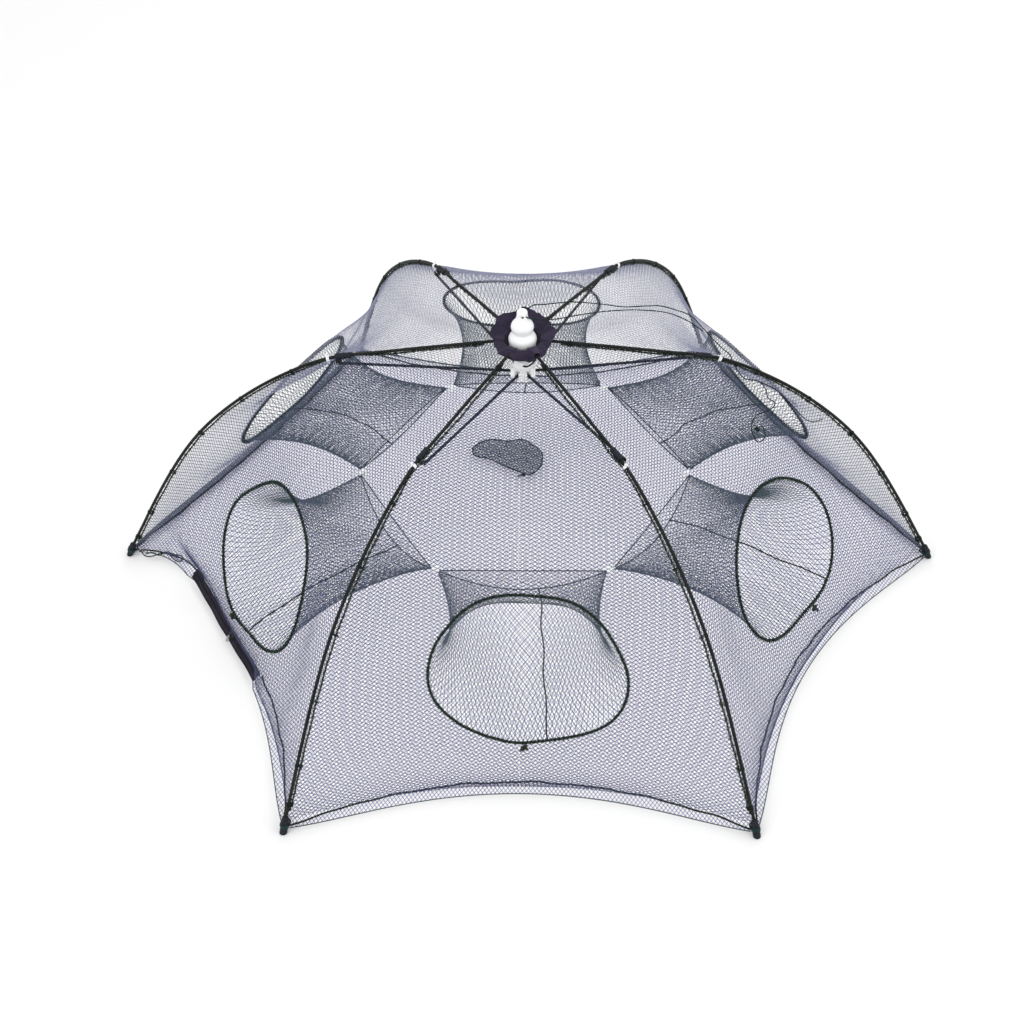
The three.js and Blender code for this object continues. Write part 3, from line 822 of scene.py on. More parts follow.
def entry_hoop(panel):
    """Hoop of laid cord with whip stitches round it and a knot under it."""
    build = Build()
    outward = radial(panel_azimuth(panel))
    angle = np.linspace(0, TAU, 400, endpoint=False)
    wobble = 0.5 * np.sin(5 * angle + panel) + 0.3 * np.sin(11 * angle + 2 * panel)
    base = ring_point(panel, angle)
    hoop = base + (wobble[:, None] * 0.6) * unit(ring_point(panel, angle, 1) - base)
    thickness = 2.1 if panel in WIDE_PANELS else 1.8
    twisted(build, hoop, thickness, pitch=8.0, sides=6, per_turn=8, closed=True)
    stitches = 118
    angle = np.linspace(0, TAU, stitches * 8, endpoint=False)
    base = ring_point(panel, angle)
    up = unit(ring_point(panel, angle, 1.0) - base)
    out = unit(np.cross(np.roll(base, -1, 0) - base, up))
    phase = (stitches * angle)[:, None]
    tube(build, base + (thickness + 0.3) * (np.cos(phase) * up + np.sin(phase) * out),
         0.28, 4, closed=True, mat=2)
    foot = ring_point(panel, -math.pi / 2 + KNOT_TURN[panel])
    if panel % 2:
        tail = [(2 + panel % 3, 2, -5), (5, 3, -9)]
    else:
        tail = [(-3, 1, -4), (-5, 1 + panel % 3, -8)]
    knot(build, foot - 5.0 * UP + outward * 2.5, 3.6, 1.15, outward, mat=1, turn=panel * 1.1,
         tail=tail)
    return build.done(f"entry_hoop_{panel + 1}", DARK, OLIVE, TEAL)


def funnel_seam(panel):
    """Seam along the lower sheet from the hoop's foot to the slit, and the slit's hem."""
    build = Build()
    share = np.linspace(0.0, 1.0, 60)
    start, end = SEAM_TURN[panel]
    angle = (-math.pi / 2 + start + (end - start) * share
             + 0.012 * np.sin(19 * share + panel))
    twisted(build, funnel(panel, share, angle) + 0.9 * UP, 1.0, pitch=5.5)
    angle = np.linspace(0, TAU, 300, endpoint=False)
    twisted(build, funnel(panel, np.full(300, 0.997), angle), 0.8, closed=True, mats=(2, 0))
    return build.done(f"funnel_seam_{panel + 1}", DARK, OLIVE, TEAL)


for panel in range(6):
    n = panel + 1
    for make, slot, nodes in ((funnel_net, "net", [f"funnel_{n}"]),
                              (entry_hoop, "green_cord", [f"entry_ring_{n}"]),
                              (funnel_seam, "green_cord", [])):
        piece = make(panel)
        stand(piece, f"entry_{n}", slot, *nodes)
        squash(piece, panel_azimuth(panel), (0.3, 0.1))

# ---------------------------------------------------------------- floor net, one kite on each rib
SEAM_LAY = {"pitch": 6.5, "sides": 6, "per_turn": 7}


def edge_point(panel, u, out=0.0, z=FLOOR_Z):
    """A point on a panel's lower edge: u is -1 at its first rib and 1 at the next."""
    distance = np.abs(u)
    chord = TIP_RADIUS * COS30
    straight = (panel == ZIP_PANEL) & (u < 0)
    pull = np.where(straight, 1 - distance ** 8, 1 - distance ** 2)
    lift = 1 - distance ** 6
    across = u * TIP_RADIUS * 0.5
    if panel == ZIP_PANEL:  # the floor net stays under the zip
        lift = lift * (1 - 0.42 * np.clip(np.minimum(across + 160, 44 - across) / 20, 0, 1))
    radius = chord - (chord - MID_EDGE[panel]) * pull + out * lift
    return at(panel_azimuth(panel), radius, z, across)


def floor_mesh(rib):
    """Floor net belonging to rib 0 to 5: a kite from the middle out to both edges."""
    before = (rib + 5) % 6
    rim = np.vstack([edge_point(before, np.linspace(0, 0.985, 60), HEM_OUT[before]),
                     edge_point(rib, np.linspace(-0.985, 0, 60), HEM_OUT[rib])])[:, :2]
    kite = np.vstack([[[0, 0]], rim])
    build = Build()
    for family in (1, -1):
        wave = np.array([1 / FLOOR_CELL[0], family / FLOOR_CELL[1]])
        for path in net_threads(kite, wave, shortest=3, step=22, fewest=2):
            x, y = path.T
            z = FLOOR_Z + 0.35 * family + 1.0 * np.sin(x / 61.0) * np.sin(y / 47.0) + 0.6
            tube(build, np.column_stack([path, z]), 0.34, 3, ref=UP)
    piece = build.done(f"floor_mesh_{rib + 1}", NET_FLOOR)
    hide_from_light(piece)
    stand(piece, f"floor_{rib + 1}", "net", f"floor_net_{rib + 1}")
    return piece


def floor_seam(rib):
    """Selvedge and lower seam cord, half of each neighbouring panel's edge."""
    build = Build()
    for panel, u in (((rib + 5) % 6, np.linspace(0, 0.975, 90)),
                     (rib, np.linspace(-0.975, 0, 90))):
        hem = HEM_OUT[panel]
        wave = 0.6 * np.sin(23 * u + panel) + 0.4 * np.sin(41 * u + 2 * panel)
        seam = edge_point(panel, u, 0.0, FLOOR_Z + 1.8 + 0.4 * np.sin(17 * u))
        seam = seam + wave[:, None] * radial(panel_azimuth(panel))
        parts = [seam]
        if panel == ZIP_PANEL:  # the zip takes the seam's place along part of this edge
            across = u * TIP_RADIUS * 0.5
            parts = [seam[across < ZIP_START], seam[across > ZIP_END - 2]]
        for part in parts:
            if len(part) > 3:
                twisted(build, part, 1.9 if panel in WIDE_PANELS else 1.25, **SEAM_LAY)
        radius, mat = (0.6, 2) if panel > 2 else (1.0, 3)
        tube(build, edge_point(panel, u, hem, FLOOR_Z + 0.6), radius, 5, mat=mat)
        if panel in WIDE_PANELS:  # doubled net between the seam and the selvedge
            u = np.linspace(u[0], u[-1], 260)
            zigzag = hem * (np.arange(260) % 2)
            tube(build, edge_point(panel, u, zigzag, FLOOR_Z + 1.4), 0.5, 3, mat=3)
            tube(build, edge_point(panel, u, hem * 0.55, FLOOR_Z + 1.6), 0.45, 5, mat=3)
    piece = build.done(f"floor_seam_{rib + 1}", DARK, OLIVE, GREY, TEAL)
    stand(piece, f"floor_{rib + 1}", "green_cord")
    return piece


for rib in range(6):
    for make in (floor_mesh, floor_seam):
        squash(make(rib), 60 * rib, (0.4, 0.004))

# ---------------------------------------------------------------- ribs and what they carry
# lashings that hold the seam to the rib: (share of the rib's length, turns)
LASHINGS = [(0.05, 3), (0.40, 2), (0.52, 2), (0.64, 2), (0.76, 2), (0.88, 3), (0.955, 4)]
# profiles: (radius, height)
SLEEVE = [[0, -14], [1.9, -14], [2.9, -14], [3.4, -13], [3.4, -10.6], [3.0, -10.2], [3.0, -9.2],
          [3.4, -8.8], [3.4, 1.6], [3.0, 3], [1.9, 3], [0, 3]]
EAR_DISC = [[0, -1.1], [2.6, -1.1], [2.9, -0.6], [2.9, 0.6], [2.6, 1.1], [0, 1.1]]
RIVET = [[0, -1.2], [1.5, -1.2], [1.7, -0.7], [0.75, -0.5], [0.75, 7.0], [0, 7.0]]
# small loop on the tip boot: (radius, height, sideways)
BOOT_LOOP = [(461.6, 9.0, -4.6), (457.0, 9.5, -3.0), (455.4, 9.0, 0), (457.0, 9.5, 3.0),
             (461.6, 9.0, 4.6)]


def rib_rod(rib, x, y):
    """The rib, with an eye at its hub end."""
    build = Build()
    share = np.concatenate([np.linspace(0.004, 0.1, 8), np.linspace(0.115, 0.998, 90)])
    tube(build, rib_point(60 * rib, share), 1.75, 14, ref=y, dome=True)
    eye = circle(at(60 * rib, *RIB_LINE[0]), 2.05 * x, 2.05 * UP, 28)
    tube(build, eye, 0.95, ref=y, closed=True)
    piece = build.done(f"rib_rod_{rib + 1}", ROD)
    stand(piece, f"rib_arm_{rib + 1}", "rod_black", f"rib_{rib + 1}")


def rib_seam(rib, x, y):
    """Seam cord by the rib with a whip stitch every few millimetres, lashed to the rib."""
    build = Build()
    azimuth = 60 * rib
    share = np.linspace(0.034, 0.968, 260)
    path = rib_point(azimuth, share) + seam_offset(share, rib)
    path = path + np.stack([0.25 * np.sin(91 * share + rib), 0.25 * np.cos(77 * share),
                            0.2 * np.sin(60 * share)], 1)
    twisted(build, path, 1.25, **SEAM_LAY)
    path = resample(path, 9.5)
    for point, along in list(zip(path, unit(np.gradient(path, axis=0))))[1:-1]:
        normal = unit(np.cross(along, y))
        slant = 1.55 * np.cross(along, normal) + 0.9 * along
        tube(build, circle(point, 1.55 * normal, slant, 12), 0.38, 4, closed=True, mat=2)
    for share, turns in LASHINGS:
        point = rib_point(azimuth, share)
        along = unit(rib_point(azimuth, share + 0.01) - point)
        offset = seam_offset(share, rib)
        depth = np.linalg.norm(offset) / 2 + 2.0
        down = unit(offset)
        tube(build, coil(point + offset * 0.5, depth * down, 2.35 * np.cross(along, down),
                         along, turns=turns, pitch=1.1, count=14 * turns), 0.42, 5)
    piece = build.done(f"rib_seam_{rib + 1}", DARK, PALE, TEAL)
    stand(piece, f"rib_arm_{rib + 1}", "green_cord")


def joint_sleeve(rib, x, y):
    """Sleeve on the rib at the joint, with a flat ear beside it."""
    build = Build()
    azimuth = 60 * rib
    slope = math.atan2(JOINT_Z - RIB_LINE[4][1], JOINT_RADIUS - RIB_LINE[4][0])
    along = math.cos(slope) * x + math.sin(slope) * UP
    normal = -math.sin(slope) * x + math.cos(slope) * UP
    lathe(build, rounded(SLEEVE, 0.35, 3), 28, at(azimuth, JOINT_RADIUS, JOINT_Z),
          normal, y, along)
    block(build, at(azimuth, JOINT_RADIUS - 0.2, 282, 2.0), (7, 2.2, 6.4), x, y, UP)
    lathe(build, rounded(EAR_DISC, 0.2, 3), 24, at(azimuth, JOINT_RADIUS, RIVET_Z - 0.6, 2.0),
          x, UP, -y)
    piece = build.done(f"joint_sleeve_{rib + 1}", BLACK)
    stand(piece, f"rib_arm_{rib + 1}", "black_plastic", f"rib_joint_{rib + 1}")


def joint_rivet(rib, x, y):
    """Rivet through the ear and the stretcher's eye."""
    build = Build()
    lathe(build, rounded(RIVET, 0.12, 3), 18, at(60 * rib, JOINT_RADIUS, RIVET_Z, 0.6),
          x, -UP, y)
    piece = build.done(f"joint_rivet_{rib + 1}", WIRE)
    stand(piece, f"rib_arm_{rib + 1}", "steel_wire")


def joint_tie(rib, x, y):
    """White clip round the rib just outboard of the sleeve, with two short ends."""
    build = Build()
    centre = rib_point(60 * rib, JOINT_SHARE + 0.021)
    along = unit(rib_point(60 * rib, JOINT_SHARE + 0.035) - centre)
    up = unit(np.cross(along, y))
    tube(build, coil(centre, 2.5 * up, 2.5 * y, along, turns=2, pitch=1.7, count=44), 0.8,
         dome=True)
    for end in ([(0.3, 0, 2.6), (0, -0.8, 4.4), (-0.6, -2.4, 5.4)],
                [(-0.3, 0, -2.6), (0.4, 0.8, -4.2), (0.8, 0.4, -5.2)]):
        tube(build, curve(local(centre, (along, y, up), end), 8), 0.85, dome=True)
    piece = build.done(f"joint_tie_{rib + 1}", TIE)
    stand(piece, f"rib_arm_{rib + 1}", "white_plastic")


def boot_axes(rib, y):
    """Foot of the tip boot, its length, its axis and a normal to that in the rib's plane."""
    foot, top = at(60 * rib, 466.4, -2), at(60 * rib, 459, 17.5)
    axis = unit(top - foot)
    return foot, float(np.linalg.norm(top - foot)), axis, unit(np.cross(y, axis))


def tip_boot(rib, x, y):
    """A blind boot on the rib's end, flat underneath, with a small loop on its inner side."""
    build = Build()
    foot, length, axis, normal = boot_axes(rib, y)
    profile = [[0, 0], [3.7, 0], [4.0, 0.9], [3.9, length - 5.6], [3.6, length - 5.3],
               [3.6, length - 4.6], [3.8, length - 4.3], [3.4, length - 1.4],
               [2.6, length - 0.3], [2.0, length], [0, length]]
    lathe(build, rounded(profile, 0.4, 3), 32, foot, normal, y, axis)
    body = build.points[0]
    body[:, 2] = np.maximum(body[:, 2], 0.0)
    tube(build, curve([at(60 * rib, *point) for point in BOOT_LOOP], 8), 1.0)
    piece = build.done(f"tip_boot_{rib + 1}", BLACK)
    stand(piece, f"rib_arm_{rib + 1}", "black_plastic", f"tip_cap_{rib + 1}")


def corner_lashing(rib, x, y):
    """Cord wound round the boot at the net's corner."""
    build = Build()
    foot, _, axis, normal = boot_axes(rib, y)
    tube(build, coil(foot + axis * 10.5, 4.35 * normal, 4.35 * y, axis,
                     turns=3, pitch=1.3, count=60), 0.5, 6)
    piece = build.done(f"corner_lashing_{rib + 1}", TEAL, DARK)
    stand(piece, f"rib_arm_{rib + 1}", "green_cord")


def stretcher_rod(rib, x, y):
    """Rod from the runner to the joint, with an eye and a flattened shank at each end."""
    build = Build()
    inner, outer = at(60 * rib, *RUNNER_PIN), at(60 * rib, JOINT_RADIUS, RIVET_Z, 6.0)
    along = unit(outer - inner)
    tube(build, np.linspace(inner + along * 1.6, outer - along * 1.6, 26), 1.5, 12, ref=UP)
    for centre, way in ((inner, along), (outer, -along)):
        tube(build, circle(centre, 1.65 * x, 1.65 * UP, 24), 0.8, ref=y, closed=True)
        tube(build, np.linspace(centre + way * 2.0, centre + way * 4.2, 5), 1.75, 10, ref=y,
             flat=0.9)
    piece = build.done(f"stretcher_rod_{rib + 1}", ROD)
    stand(piece, f"stretcher_arm_{rib + 1}", "rod_black", f"stretcher_{rib + 1}")


def slit_tie(rib, x, y):
    """White tie that joins the neighbouring funnel slits at a rib's azimuth."""
    build = Build()
    centre = at(60 * rib, 181.0, SLIT_Z - 1.0)
    tube(build, coil(centre, 3.4 * x, 2.2 * UP, y, turns=2, pitch=2.2, count=44), 1.15,
         dome=True)
    knot(build, centre + 2.6 * UP, 2.2, 1.1, turn=rib)
    for end in ([(0, 0, 0), (2, 3, 3), (3, 6.5, 1.5)], [(0, 0, 0), (1, -3, 3), (-2, -6, 1.5)]):
        tube(build, curve(local(centre, (x, y, UP), end), 8), 1.0, dome=True)
    piece = build.done(f"slit_tie_{rib + 1}", TIE)
    stand(piece, f"rib_arm_{rib + 1}", "white_plastic")


for rib in range(6):
    for make in (rib_rod, rib_seam, joint_sleeve, joint_rivet, joint_tie, tip_boot,
                 corner_lashing, stretcher_rod):
        make(rib, radial(60 * rib), tangent(60 * rib))
for rib in range(6):
    slit_tie(rib, radial(60 * rib), tangent(60 * rib))

# ---------------------------------------------------------------- knob, rod, runner and hub
# profiles: (radius, height)
GOURD_TOP = 344.0
GOURD = [(9.5, 299.4), (12.2, 300.6), (14.3, 303.9), (14.9, 308.0), (14.2, 311.6), (12.0, 314.4),
         (10.1, 316.1), (9.8, 317.5), (10.9, 319.5), (12.0, 322.2), (12.0, 325.0), (10.8, 328.0),
         (8.7, 330.8), (7.0, 333.4), (6.1, 336.2), (5.7, 339.2), (5.6, 341.2), (5.2, 342.7),
         (3.9, 343.7), (1.9, GOURD_TOP)]
ROD_TUBE = [[0, 259], [3.4, 259], [4.25, 259.6], [4.25, 311], [0, 311]]
RUNNER = [[0, 258.0], [8.6, 258.0], [9.8, 259.2], [9.8, 260.6], [8.2, 261.4], [8.2, 271.6],
          [10.6, 272.4], [10.9, 273.8], [9.2, 274.6], [9.2, 281.8], [8.2, 283], [0, 283]]
FORK_PIN = [[0, -4.2], [0.9, -4.2], [0.9, 4.2], [0, 4.2]]
PIN_HEAD = [[0, -1.4], [1.9, -1.4], [2.1, -0.9], [2.1, 0.5], [1.7, 1.0], [0, 1.0]]
DISH = [[14.4, 297], [24.2, 297], [26.2, 297.8], [26.9, 299.4], [26.9, 302.0], [25.6, 303.6],
        [24.0, 304.0], [18.6, 304.0], [17.2, 303.2], [14.0, 299.4], [13.8, 297.9]]
CROSS_PIN = [(0, 9.6, 279), (0, 5, 279), (0, -4, 279), (0.6, -8.6, 279.2), (4.5, -10.8, 280.0),
             (9.4, -10.8, 283.4), (14.2, -10.4, 289.5)]   # x, y, z along the bent wire


def gourd_knob():
    build = Build()
    body = np.minimum(curve(GOURD, 4), [math.inf, GOURD_TOP])
    lathe(build, [[0, 299.3], [8.6, 299.3], *body.tolist(), [0, GOURD_TOP]], 56)
    # raised eyelets where the cord leaves the neck
    for sign in (-1, 1):
        eyelet = circle(np.array([0, 5.5 * sign, 339.0]), 1.9 * radial(0), 1.9 * UP, 24)
        tube(build, eyelet, 0.45, 6, closed=True)
    stand(build.done("gourd_knob", WHITE), "plunger", "white_plastic", "gourd_handle")


def rod_tube():
    build = Build()
    lathe(build, rounded(ROD_TUBE, 0.3, 3), 36)
    stand(build.done("rod_tube", WHITE), "plunger", "white_plastic", "centre_rod")


def runner_body():
    """A stack of collar and flange with six forks."""
    build = Build()
    lathe(build, rounded(RUNNER, 0.5, 4))
    for i in range(6):
        azimuth = 60 * i
        x, y = radial(azimuth), tangent(azimuth)
        for sign in (-1, 1):
            block(build, at(azimuth, 9.6, 266.2, sign * 2.95), (7.0, 1.9, 12.6), x, y, UP)
        lathe(build, rounded(FORK_PIN, 0.15, 2), 14, at(azimuth, *RUNNER_PIN), x, -UP, y)
        # rounded web between two forks
        web = np.linspace(at(azimuth + 30, 10.2, 260.0), at(azimuth + 30, 10.2, 272.2), 8)
        tube(build, web, 1.9, 12, dome=True)
    stand(build.done("runner_body", WHITE), "plunger", "white_plastic", "runner")


def cross_pin():
    build = Build()
    tube(build, curve(CROSS_PIN, 8), 0.95, 12, dome=True)
    lathe(build, rounded(PIN_HEAD, 0.2, 3), 18, (0, 10.4, 279), (-1, 0, 0), (0, 0, 1), (0, 1, 0))
    stand(build.done("cross_pin", DARK_METAL), "plunger", "dark_metal", "rod_cross_pin")


def hub_dish():
    """A dished ring with a pair of lugs for each rib's eye."""
    build = Build()
    count = 72
    angle = np.linspace(0, TAU, count, endpoint=False)[:, None]
    radius, height = np.array(DISH, float).T
    rings = np.stack([radius * np.cos(angle), radius * np.sin(angle),
                      np.broadcast_to(height, (count, len(DISH)))], -1)
    build.add(rings, [grid(count, len(DISH), closed=True)[:, FLIP]])
    for i in range(6):
        x, y = radial(60 * i), tangent(60 * i)
        for sign in (-1, 1):
            block(build, at(60 * i, 21.2, 304.6, sign * 3.6), (7.6, 1.9, 8.0), x, y, UP)
    stand(build.done("hub_dish", BLACK), "hub", "black_plastic", "hub_body")


def ruffled_cap():
    """A ruffled ring of thin cloth, in the dish and over the rib eyes, its +Y side standing up."""
    rows, count = 34, 320
    inner, thickness = 15.3, 0.6
    angle = np.linspace(0, TAU, count, endpoint=False)

    def turn_from(degrees):
        return (angle - degrees * DEG + math.pi) % TAU - math.pi

    ruffle = 0.5 + 0.5 * np.sin(2 * angle + 0.8) * np.sin(3 * angle + 0.4)
    pleat = (np.sin(15 * angle + 1.3 * np.sin(3 * angle))
             + 0.5 * np.sin(27 * angle + 2.0 * np.sin(2 * angle + 1)))
    edge = (32.6 + 1.1 * np.sin(5 * angle + 0.7) + 1.2 * np.sin(8 * angle + 2.0)
            + 0.7 * np.sin(13 * angle + 0.3) + 0.3 * pleat + 1.2 * np.sin(angle))
    rib_near = np.minimum.reduce([np.abs(turn_from(60 * i)) for i in range(6)])
    tuck = np.exp(-(turn_from(300) / 0.16) ** 2)
    notch = np.exp(-(turn_from(284) / 0.10) ** 2)
    hump_end = np.where(np.abs(turn_from(240)) < 0.5, 24.0, 37.0)
    cloth = []
    for row in range(rows):
        radius = inner + (edge - inner) * (row / (rows - 1))
        # down in the dish, over the wire, with a hump on each rib eye
        base = np.interp(radius, [inner, 18.2, 20.4, 22.6, 40],
                         [301.8, 304.2, 308.0, 308.3, 306.6])
        on_rib = (rib_near * radius < 4.6) * (radius > 18.6) * (radius < hump_end)
        hump = (309.2 + 1.2 * (np.sin(angle) > -0.5)) * on_rib
        out = np.clip((radius - 22.0) / (edge - 22.0), 0, 1)
        tilt = out ** 1.1 * (5.2 + 10.5 * np.sin(angle) + 1.6 * np.sin(3 * angle + 0.5))
        fold = (0.25 + 2.0 * out ** 1.2) * 0.62 * pleat * ruffle
        z = (base + tilt + fold + out ** 2 * (5.5 * tuck - 4.0 * notch)
             + 1.2 * out * np.sin(5 * angle + 1.0))
        twist = angle + 0.06 * out * np.sin(9 * angle)
        cloth.append(np.column_stack([radius * np.cos(twist), radius * np.sin(twist),
                                      np.maximum(z, hump) + thickness / 2]))
    top = np.stack(cloth)
    z = top[:, :, 2]
    for _ in range(2):   # cloth softens the humps
        z[1:-1] = (z[1:-1] * 2 + z[:-2] + z[2:] + np.roll(z[1:-1], 1, 1)
                   + np.roll(z[1:-1], -1, 1)) / 6
    bottom = top - thickness * UP
    # both faces row by row, then the inner and outer rims
    faces = grid(rows, count).reshape(rows - 1, count, 4)
    sheets = np.stack([faces[..., FLIP], faces + rows * count], 1).reshape(-1, 4)
    j = np.arange(count)
    beside = (j + 1) % count
    under = rows * count
    inner_rim = np.stack([j, beside, under + beside, under + j], 1)
    outer_rim = inner_rim[:, FLIP] + (rows - 1) * count
    build = Build()
    build.add(np.stack([top, bottom]), [np.vstack([sheets, inner_rim, outer_rim])])
    stand(build.done("ruffled_cap", CAP_CLOTH), "hub", "cap_cloth", "hub_cap")


gourd_knob()
rod_tube()
runner_body()
cross_pin()
hub_dish()
ruffled_cap()

pivot_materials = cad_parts["hub_pivot_wire"].data.materials
pivot_materials.clear()
pivot_materials.append(WIRE)

# ---------------------------------------------------------------- bait pocket
# outline of the bag: (x, y) from its middle
BAG_MIDDLE = at(99, 176, 0)
BAG_OUTLINE = [
    [-43, 16], [-37, 23], [-34, 27], [-20, 33], [2, 30], [20, 33], [33, 22], [44, 8], [45, -6],
    [43, -20], [30, -36], [24, -34], [16, -30], [-4, -18], [-20, -6], [-40, 2]]
BAG_NETS = [(4.4, 5.8, 0.25), (4.6, 6.0, 0.9)]   # cell width, cell height, turn; lower net first


def bag_height(x, y, layer, outline):
    """Height of the bag's cloth: puffed in the middle, flat at its hem, with soft folds."""
    to_hem = np.min(np.hypot(x[:, None] - outline[:, 0], y[:, None] - outline[:, 1]), 1)
    puff = 1 - np.exp(-to_hem / 9.0)
    return (FLOOR_Z + 2.0 + (1.2 + 5.4 * layer * puff)
            + 0.8 * layer * np.sin(x / 7.0 + y / 11.0) * puff)


def bait_bag():
    """A bag of doubled net lying on the floor."""
    build = Build()
    outline = curve(BAG_OUTLINE + BAG_OUTLINE[:1], 10)[:-1]
    for layer, (width, height, turn) in enumerate(BAG_NETS):
        cos, sin = math.cos(turn), math.sin(turn)
        for family in (1, -1):
            wave = np.array([cos / width - family * sin / height,
                             sin / width + family * cos / height])
            for path in net_threads(outline, wave, shortest=2, step=5, fewest=3):
                z = bag_height(*path.T, layer, outline) + 0.2 * family
                tube(build, np.column_stack([path, z]) + BAG_MIDDLE, 0.36, 3, ref=UP)
    hem = np.column_stack([outline, np.full(len(outline), FLOOR_Z + 3.2)]) + BAG_MIDDLE
    twisted(build, hem, 1.0, closed=True, mats=(1, 2))
    knot(build, BAG_MIDDLE + np.array([22, -37, FLOOR_Z + 4.5]), 2.4, 0.9, mat=1,
         tail=[(-3, -2, 0), (-7, -3, -1)])
    piece = build.done("bait_bag", NET_FUNNEL, DARK, TEAL)
    piece.visible_shadow = False
    stand(piece, "floor_3", "net", "bait_pocket")
    squash(piece, 120, (0.17, 0.008))


bait_bag()

# ---------------------------------------------------------------- zip
# axes of the zip: out of its face, along it, and up across the tapes
ZIP_AXES = (ZIP_RISE * radial(ZIP_AZIMUTH) + ZIP_RUN * UP, tangent(ZIP_AZIMUTH),
            -ZIP_RUN * radial(ZIP_AZIMUTH) + ZIP_RISE * UP)


def zip_point(share, lift, out):
    """A point of the zip: share from 0 at the rib 4 end to 1, lift up across the tapes and out
    from their face."""
    up = lift - ZIP_MIDDLE + 0.5 * np.sin(9 * share) + 0.3 * np.sin(23 * share)
    return at(ZIP_AZIMUTH, 350.8 - ZIP_RUN * up + ZIP_RISE * out,
              10.6 + ZIP_RISE * up + ZIP_RUN * out, ZIP_START + ZIP_LENGTH * share)


def zip_tapes():
    """Two tapes with edge cords, coil teeth and end stops."""
    build = Build()
    rows, columns = 120, 6
    share = np.linspace(0, 1, rows)
    for low, high in ((2.6, 7.7), (9.1, 14.2)):
        front, back = [], []
        for j in range(columns):
            lift = low + (high - low) * j / (columns - 1)
            wave = 0.45 * np.sin(40 * share + j * 0.6) * (abs(lift - ZIP_MIDDLE) / 5.0)
            front.append(zip_point(share, lift, 0.45 + wave))
            back.append(zip_point(share, lift, -0.45 + wave))
        rings = np.stack(front + back[::-1]).transpose(1, 0, 2)
        around = 2 * columns
        build.add(rings, [grid(rows, around)[:, FLIP], end_caps(rows, around)[:, ::-1]])
    for lift in (2.9, 13.9):
        tube(build, zip_point(np.linspace(0, 1, 160), lift, 0.75), 0.55, 6, mat=2)
    for share in np.linspace(0.012, 0.988, 128):
        block(build, zip_point(share, ZIP_MIDDLE, 0.85), (1.0, 0.95, 2.7), *ZIP_AXES,
              chamfer=0.2, mat=1)
    for share in (0.004, 0.996):
        block(build, zip_point(share, ZIP_MIDDLE, 0.8), (1.7, 2.2, 4.6), *ZIP_AXES,
              chamfer=0.35, mat=1)
    piece = build.done("zip_tapes", ZIP_CLOTH, BLACK, DARK)
    stand(piece, "zip", "zip_tape", "zipper_tape")
    squash(piece, ZIP_AZIMUTH, (0.361, 0.008, -0.156))


def zip_pull():
    """Slider with its bridge, and a puller with a ring."""
    build = Build()
    x, y, z = ZIP_AXES
    middle = zip_point(117 / ZIP_LENGTH, ZIP_MIDDLE, 0)
    block(build, middle + x * 2.1, (1.3, 9.5, 8.4), x, y, z)
    block(build, middle - x * 1.5, (1.2, 9.5, 8.0), x, y, z)
    block(build, middle + y * 3.2 + x * 0.3, (3.6, 1.8, 2.4), x, y, z, chamfer=0.4)
    angle = np.linspace(0, math.pi, 14)[:, None]
    tube(build, middle + x * 2.6 + np.cos(angle) * y * 3.0 + np.sin(angle) * x * 1.6, 0.65)
    puller = local(middle, ZIP_AXES, [(4.2, 0, 0), (4.9, 1.2, -3.5), (4.4, 1.8, -6.4)])
    tube(build, curve(puller, 10), 0.9, mat=1, dome=True)
    ring = circle(local(middle, ZIP_AXES, (4.2, 1.6, -5.0)), 2.1 * y, 2.1 * z, 26)
    tube(build, ring, 0.6, 7, closed=True, mat=1)
    stand(build.done("zip_pull", DARK_METAL, BRIGHT_METAL), "zip_slider", "dark_metal",
          "zipper_slider")


zip_tapes()
zip_pull()

# ---------------------------------------------------------------- lift cord and spare loop
# The lift cord lies doubled from the knob over panel 1 and rib 1; its longer part ends in a loose
# tangle over panel 6. Points are x, y, z.
CORD_MAIN = [
    (0, -6, 339), (0, 0, 339), (0, 6.5, 339), (4, 9.5, 338), (10.5, 13.9, 340.1),
    (23.4, 25, 334.1), (36.4, 35.5, 328.7), (50.7, 45.7, 323.1), (81.8, 62.6, 309.1),
    (109.3, 76.2, 296), (131.5, 85.7, 290.7), (148.3, 92.8, 285.9), (166.3, 97, 277.7),
    (183.1, 96.4, 270.2), (196, 84.7, 262.3), (204.8, 67.8, 260.9), (213.8, 44.5, 264.2),
    (220.1, 21.7, 271.4), (224, -6.8, 275.2), (232.2, -15.1, 268.3), (249.8, -11.9, 260.7),
    (256.2, -17.3, 254.2), (257.9, -25.2, 249.7), (265.7, -26.1, 243.7), (259.5, -36.6, 242.6),
    (244.8, -47.6, 244.5), (238.8, -59.4, 241.8), (238.9, -72.5, 239), (243.8, -80.2, 234.6),
    (252, -70.4, 233.3), (249.2, -60.5, 240.1), (243.8, -64.3, 239.1)]
CORD_SECOND = [
    (0, -6, 339), (1.5, -6.6, 338.2), (-0.6, -1.9, 342.4), (4.1, -4, 338.2), (13.2, 2.8, 330.4),
    (23.4, 11.8, 323.5), (35.9, 22.7, 317.2), (59.2, 41.8, 309.2), (92.8, 63.8, 299.2),
    (125.7, 76.9, 291.5), (157, 87.1, 280.5), (179.4, 88.5, 269), (195.7, 80, 261.6)]
CORD_END = [(251, -12, 260.5), (268, -15, 252), (285, -20, 236), (301, -26, 221),
            (312, -19, 214), (321, -12, 211)]
CORD_SPLIT_X = 60.0              # the head and the tail are separate pieces
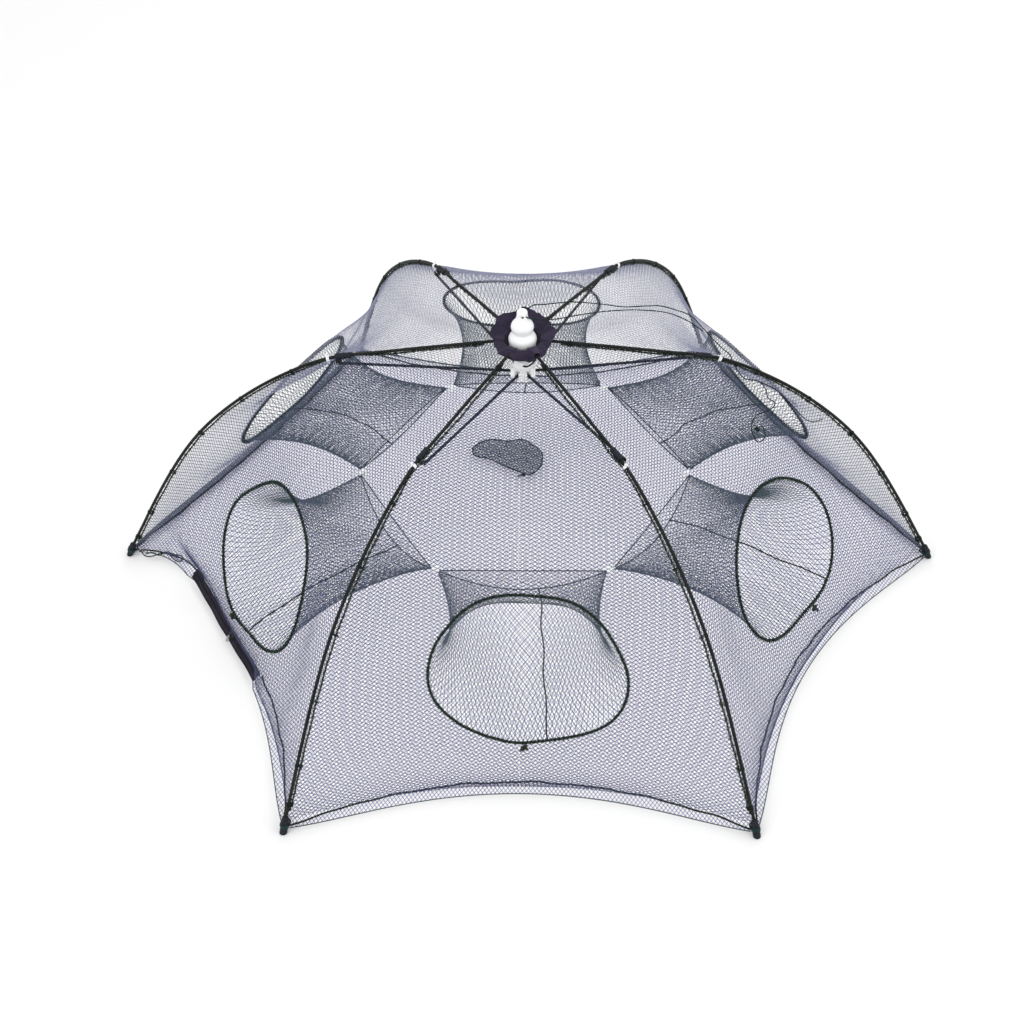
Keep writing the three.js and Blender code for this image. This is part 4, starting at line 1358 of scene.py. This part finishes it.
# spare loop beside rib 4: (azimuth, radius, height, sideways)
SPARE_LOOP = [
    (180, 459, 9.5, 0), (180.4, 452, 8.6, 0), (181.4, 444, 8.0, 1), (181.6, 436, 8.2, 0),
    (181.0, 428, 8.0, 0), (181.2, 418, 8.2, 0), (182.4, 410, 8.0, 0), (183.0, 403, 8.2, 0),
    (182.3, 400, 8.4, 0), (181.6, 403, 8.4, 0), (181.4, 411, 8.8, 0), (180.8, 420, 9.2, 0),
    (181.6, 428, 9.4, 0), (180.9, 437, 9.0, 0), (181.2, 445, 8.8, 0)]


def cord_path(points):
    return resample(curve(points, 12), 1.5)


def lift_cord():
    paths = [cord_path(CORD_MAIN), cord_path(CORD_SECOND)]
    cuts = [int(np.argmax(path[:, 0] > CORD_SPLIT_X)) for path in paths]
    head, tail = Build(), Build()
    for path, cut in zip(paths, cuts):
        twisted(head, path[:cut + 2], 0.85)
        twisted(tail, path[cut:], 0.8)
    knot(tail, paths[0][-1], 2.6, 0.8, (0.5, -0.5, 0.7))
    tube(tail, curve(CORD_END, 8), 0.55, 6)
    for build, name, blend, start, end in (
            (head, "head", ("plunger", "hub"), (0.004, 0.010, 0.338), (0.036, 0.045, 0.315)),
            (tail, "tail", ("hub", "entry_6"), (0.110, 0.080, 0.290), (0.215, 0.030, 0.275))):
        piece = build.done(f"lift_cord_{name}", DARK, TEAL)
        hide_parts("lift_cord")
        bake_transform(piece)


def spare_loop():
    build = Build()
    twisted(build, cord_path([at(*point) for point in SPARE_LOOP]), 0.95)
    stand(build.done("spare_loop", DARK, GREY), "rib_arm_4", "green_cord", "tie_loop")


lift_cord()
spare_loop()


# ---------------------------------------------------------------- ground, lights, camera (metres)
def add_ground():
    bpy.ops.mesh.primitive_plane_add(size=30, location=(0, 0, -0.0008))
    ground = bpy.context.object
    ground.name = "ground"
    shader = Shader("pale_floor")
    shader.set({"Base Color": (0.90, 0.90, 0.905, 1), "Roughness": 0.9,
                "Specular IOR Level": 0.1})
    ground.data.materials.append(shader.material)


def add_world():
    world = bpy.data.worlds.new("studio")
    bpy.context.scene.world = world
    world.use_nodes = True
    background = world.node_tree.nodes["Background"]
    background.inputs["Color"].default_value = (1.0, 1.0, 1.0, 1)
    background.inputs["Strength"].default_value = 0.80


def add_light(name, location, energy, size=2.8, aim=(0, 0, 0.1)):
    light = bpy.data.lights.new(name, "AREA")
    light.shape = "SQUARE"
    light.size = size
    light.energy = energy
    lamp = bpy.data.objects.new(name, light)
    lamp.location = location
    lamp.rotation_mode = "QUATERNION"
    lamp.rotation_quaternion = (Vector(aim) - Vector(location)).to_track_quat("-Z", "Y")
    bpy.context.scene.collection.objects.link(lamp)


def add_camera(target, distance, elevation, swing, roll, lens):
    """Camera looking at target from -Y, swung towards +X and raised, angles in radians."""
    data = bpy.data.cameras.new("cam")
    data.sensor_width = 36
    data.lens = lens
    data.clip_start = 0.05
    data.clip_end = 50
    camera = bpy.data.objects.new("cam", data)
    bpy.context.scene.collection.objects.link(camera)
    back = Vector((math.sin(swing) * math.cos(elevation),
                   -math.cos(swing) * math.cos(elevation), math.sin(elevation)))
    right = Vector((math.cos(swing), math.sin(swing), 0))
    turned = Matrix((right, back.cross(right), back)).transposed()
    turned = turned @ Matrix.Rotation(-roll, 3, "Z")
    place = Matrix.Translation(Vector(target) + back * distance)
    camera.matrix_world = place @ turned.to_4x4()
    bpy.context.scene.camera = camera


add_ground()
add_world()
add_light("key", (-1.6, -1.9, 3.4), energy=46)
add_light("fill", (2.4, -0.6, 2.6), energy=24)
add_light("back", (0.2, 2.8, 2.4), energy=18)
add_camera(target=(-0.01209, -0.082305, 0.1395), distance=1.763745, elevation=41.26 * DEG,
           swing=2.26 * DEG, roll=1.37 * DEG, lens=57.69140625)
bpy.context.scene.view_settings.view_transform = "Standard"
bpy.context.scene.view_settings.look = "None"

bpy.context.view_layer.update()
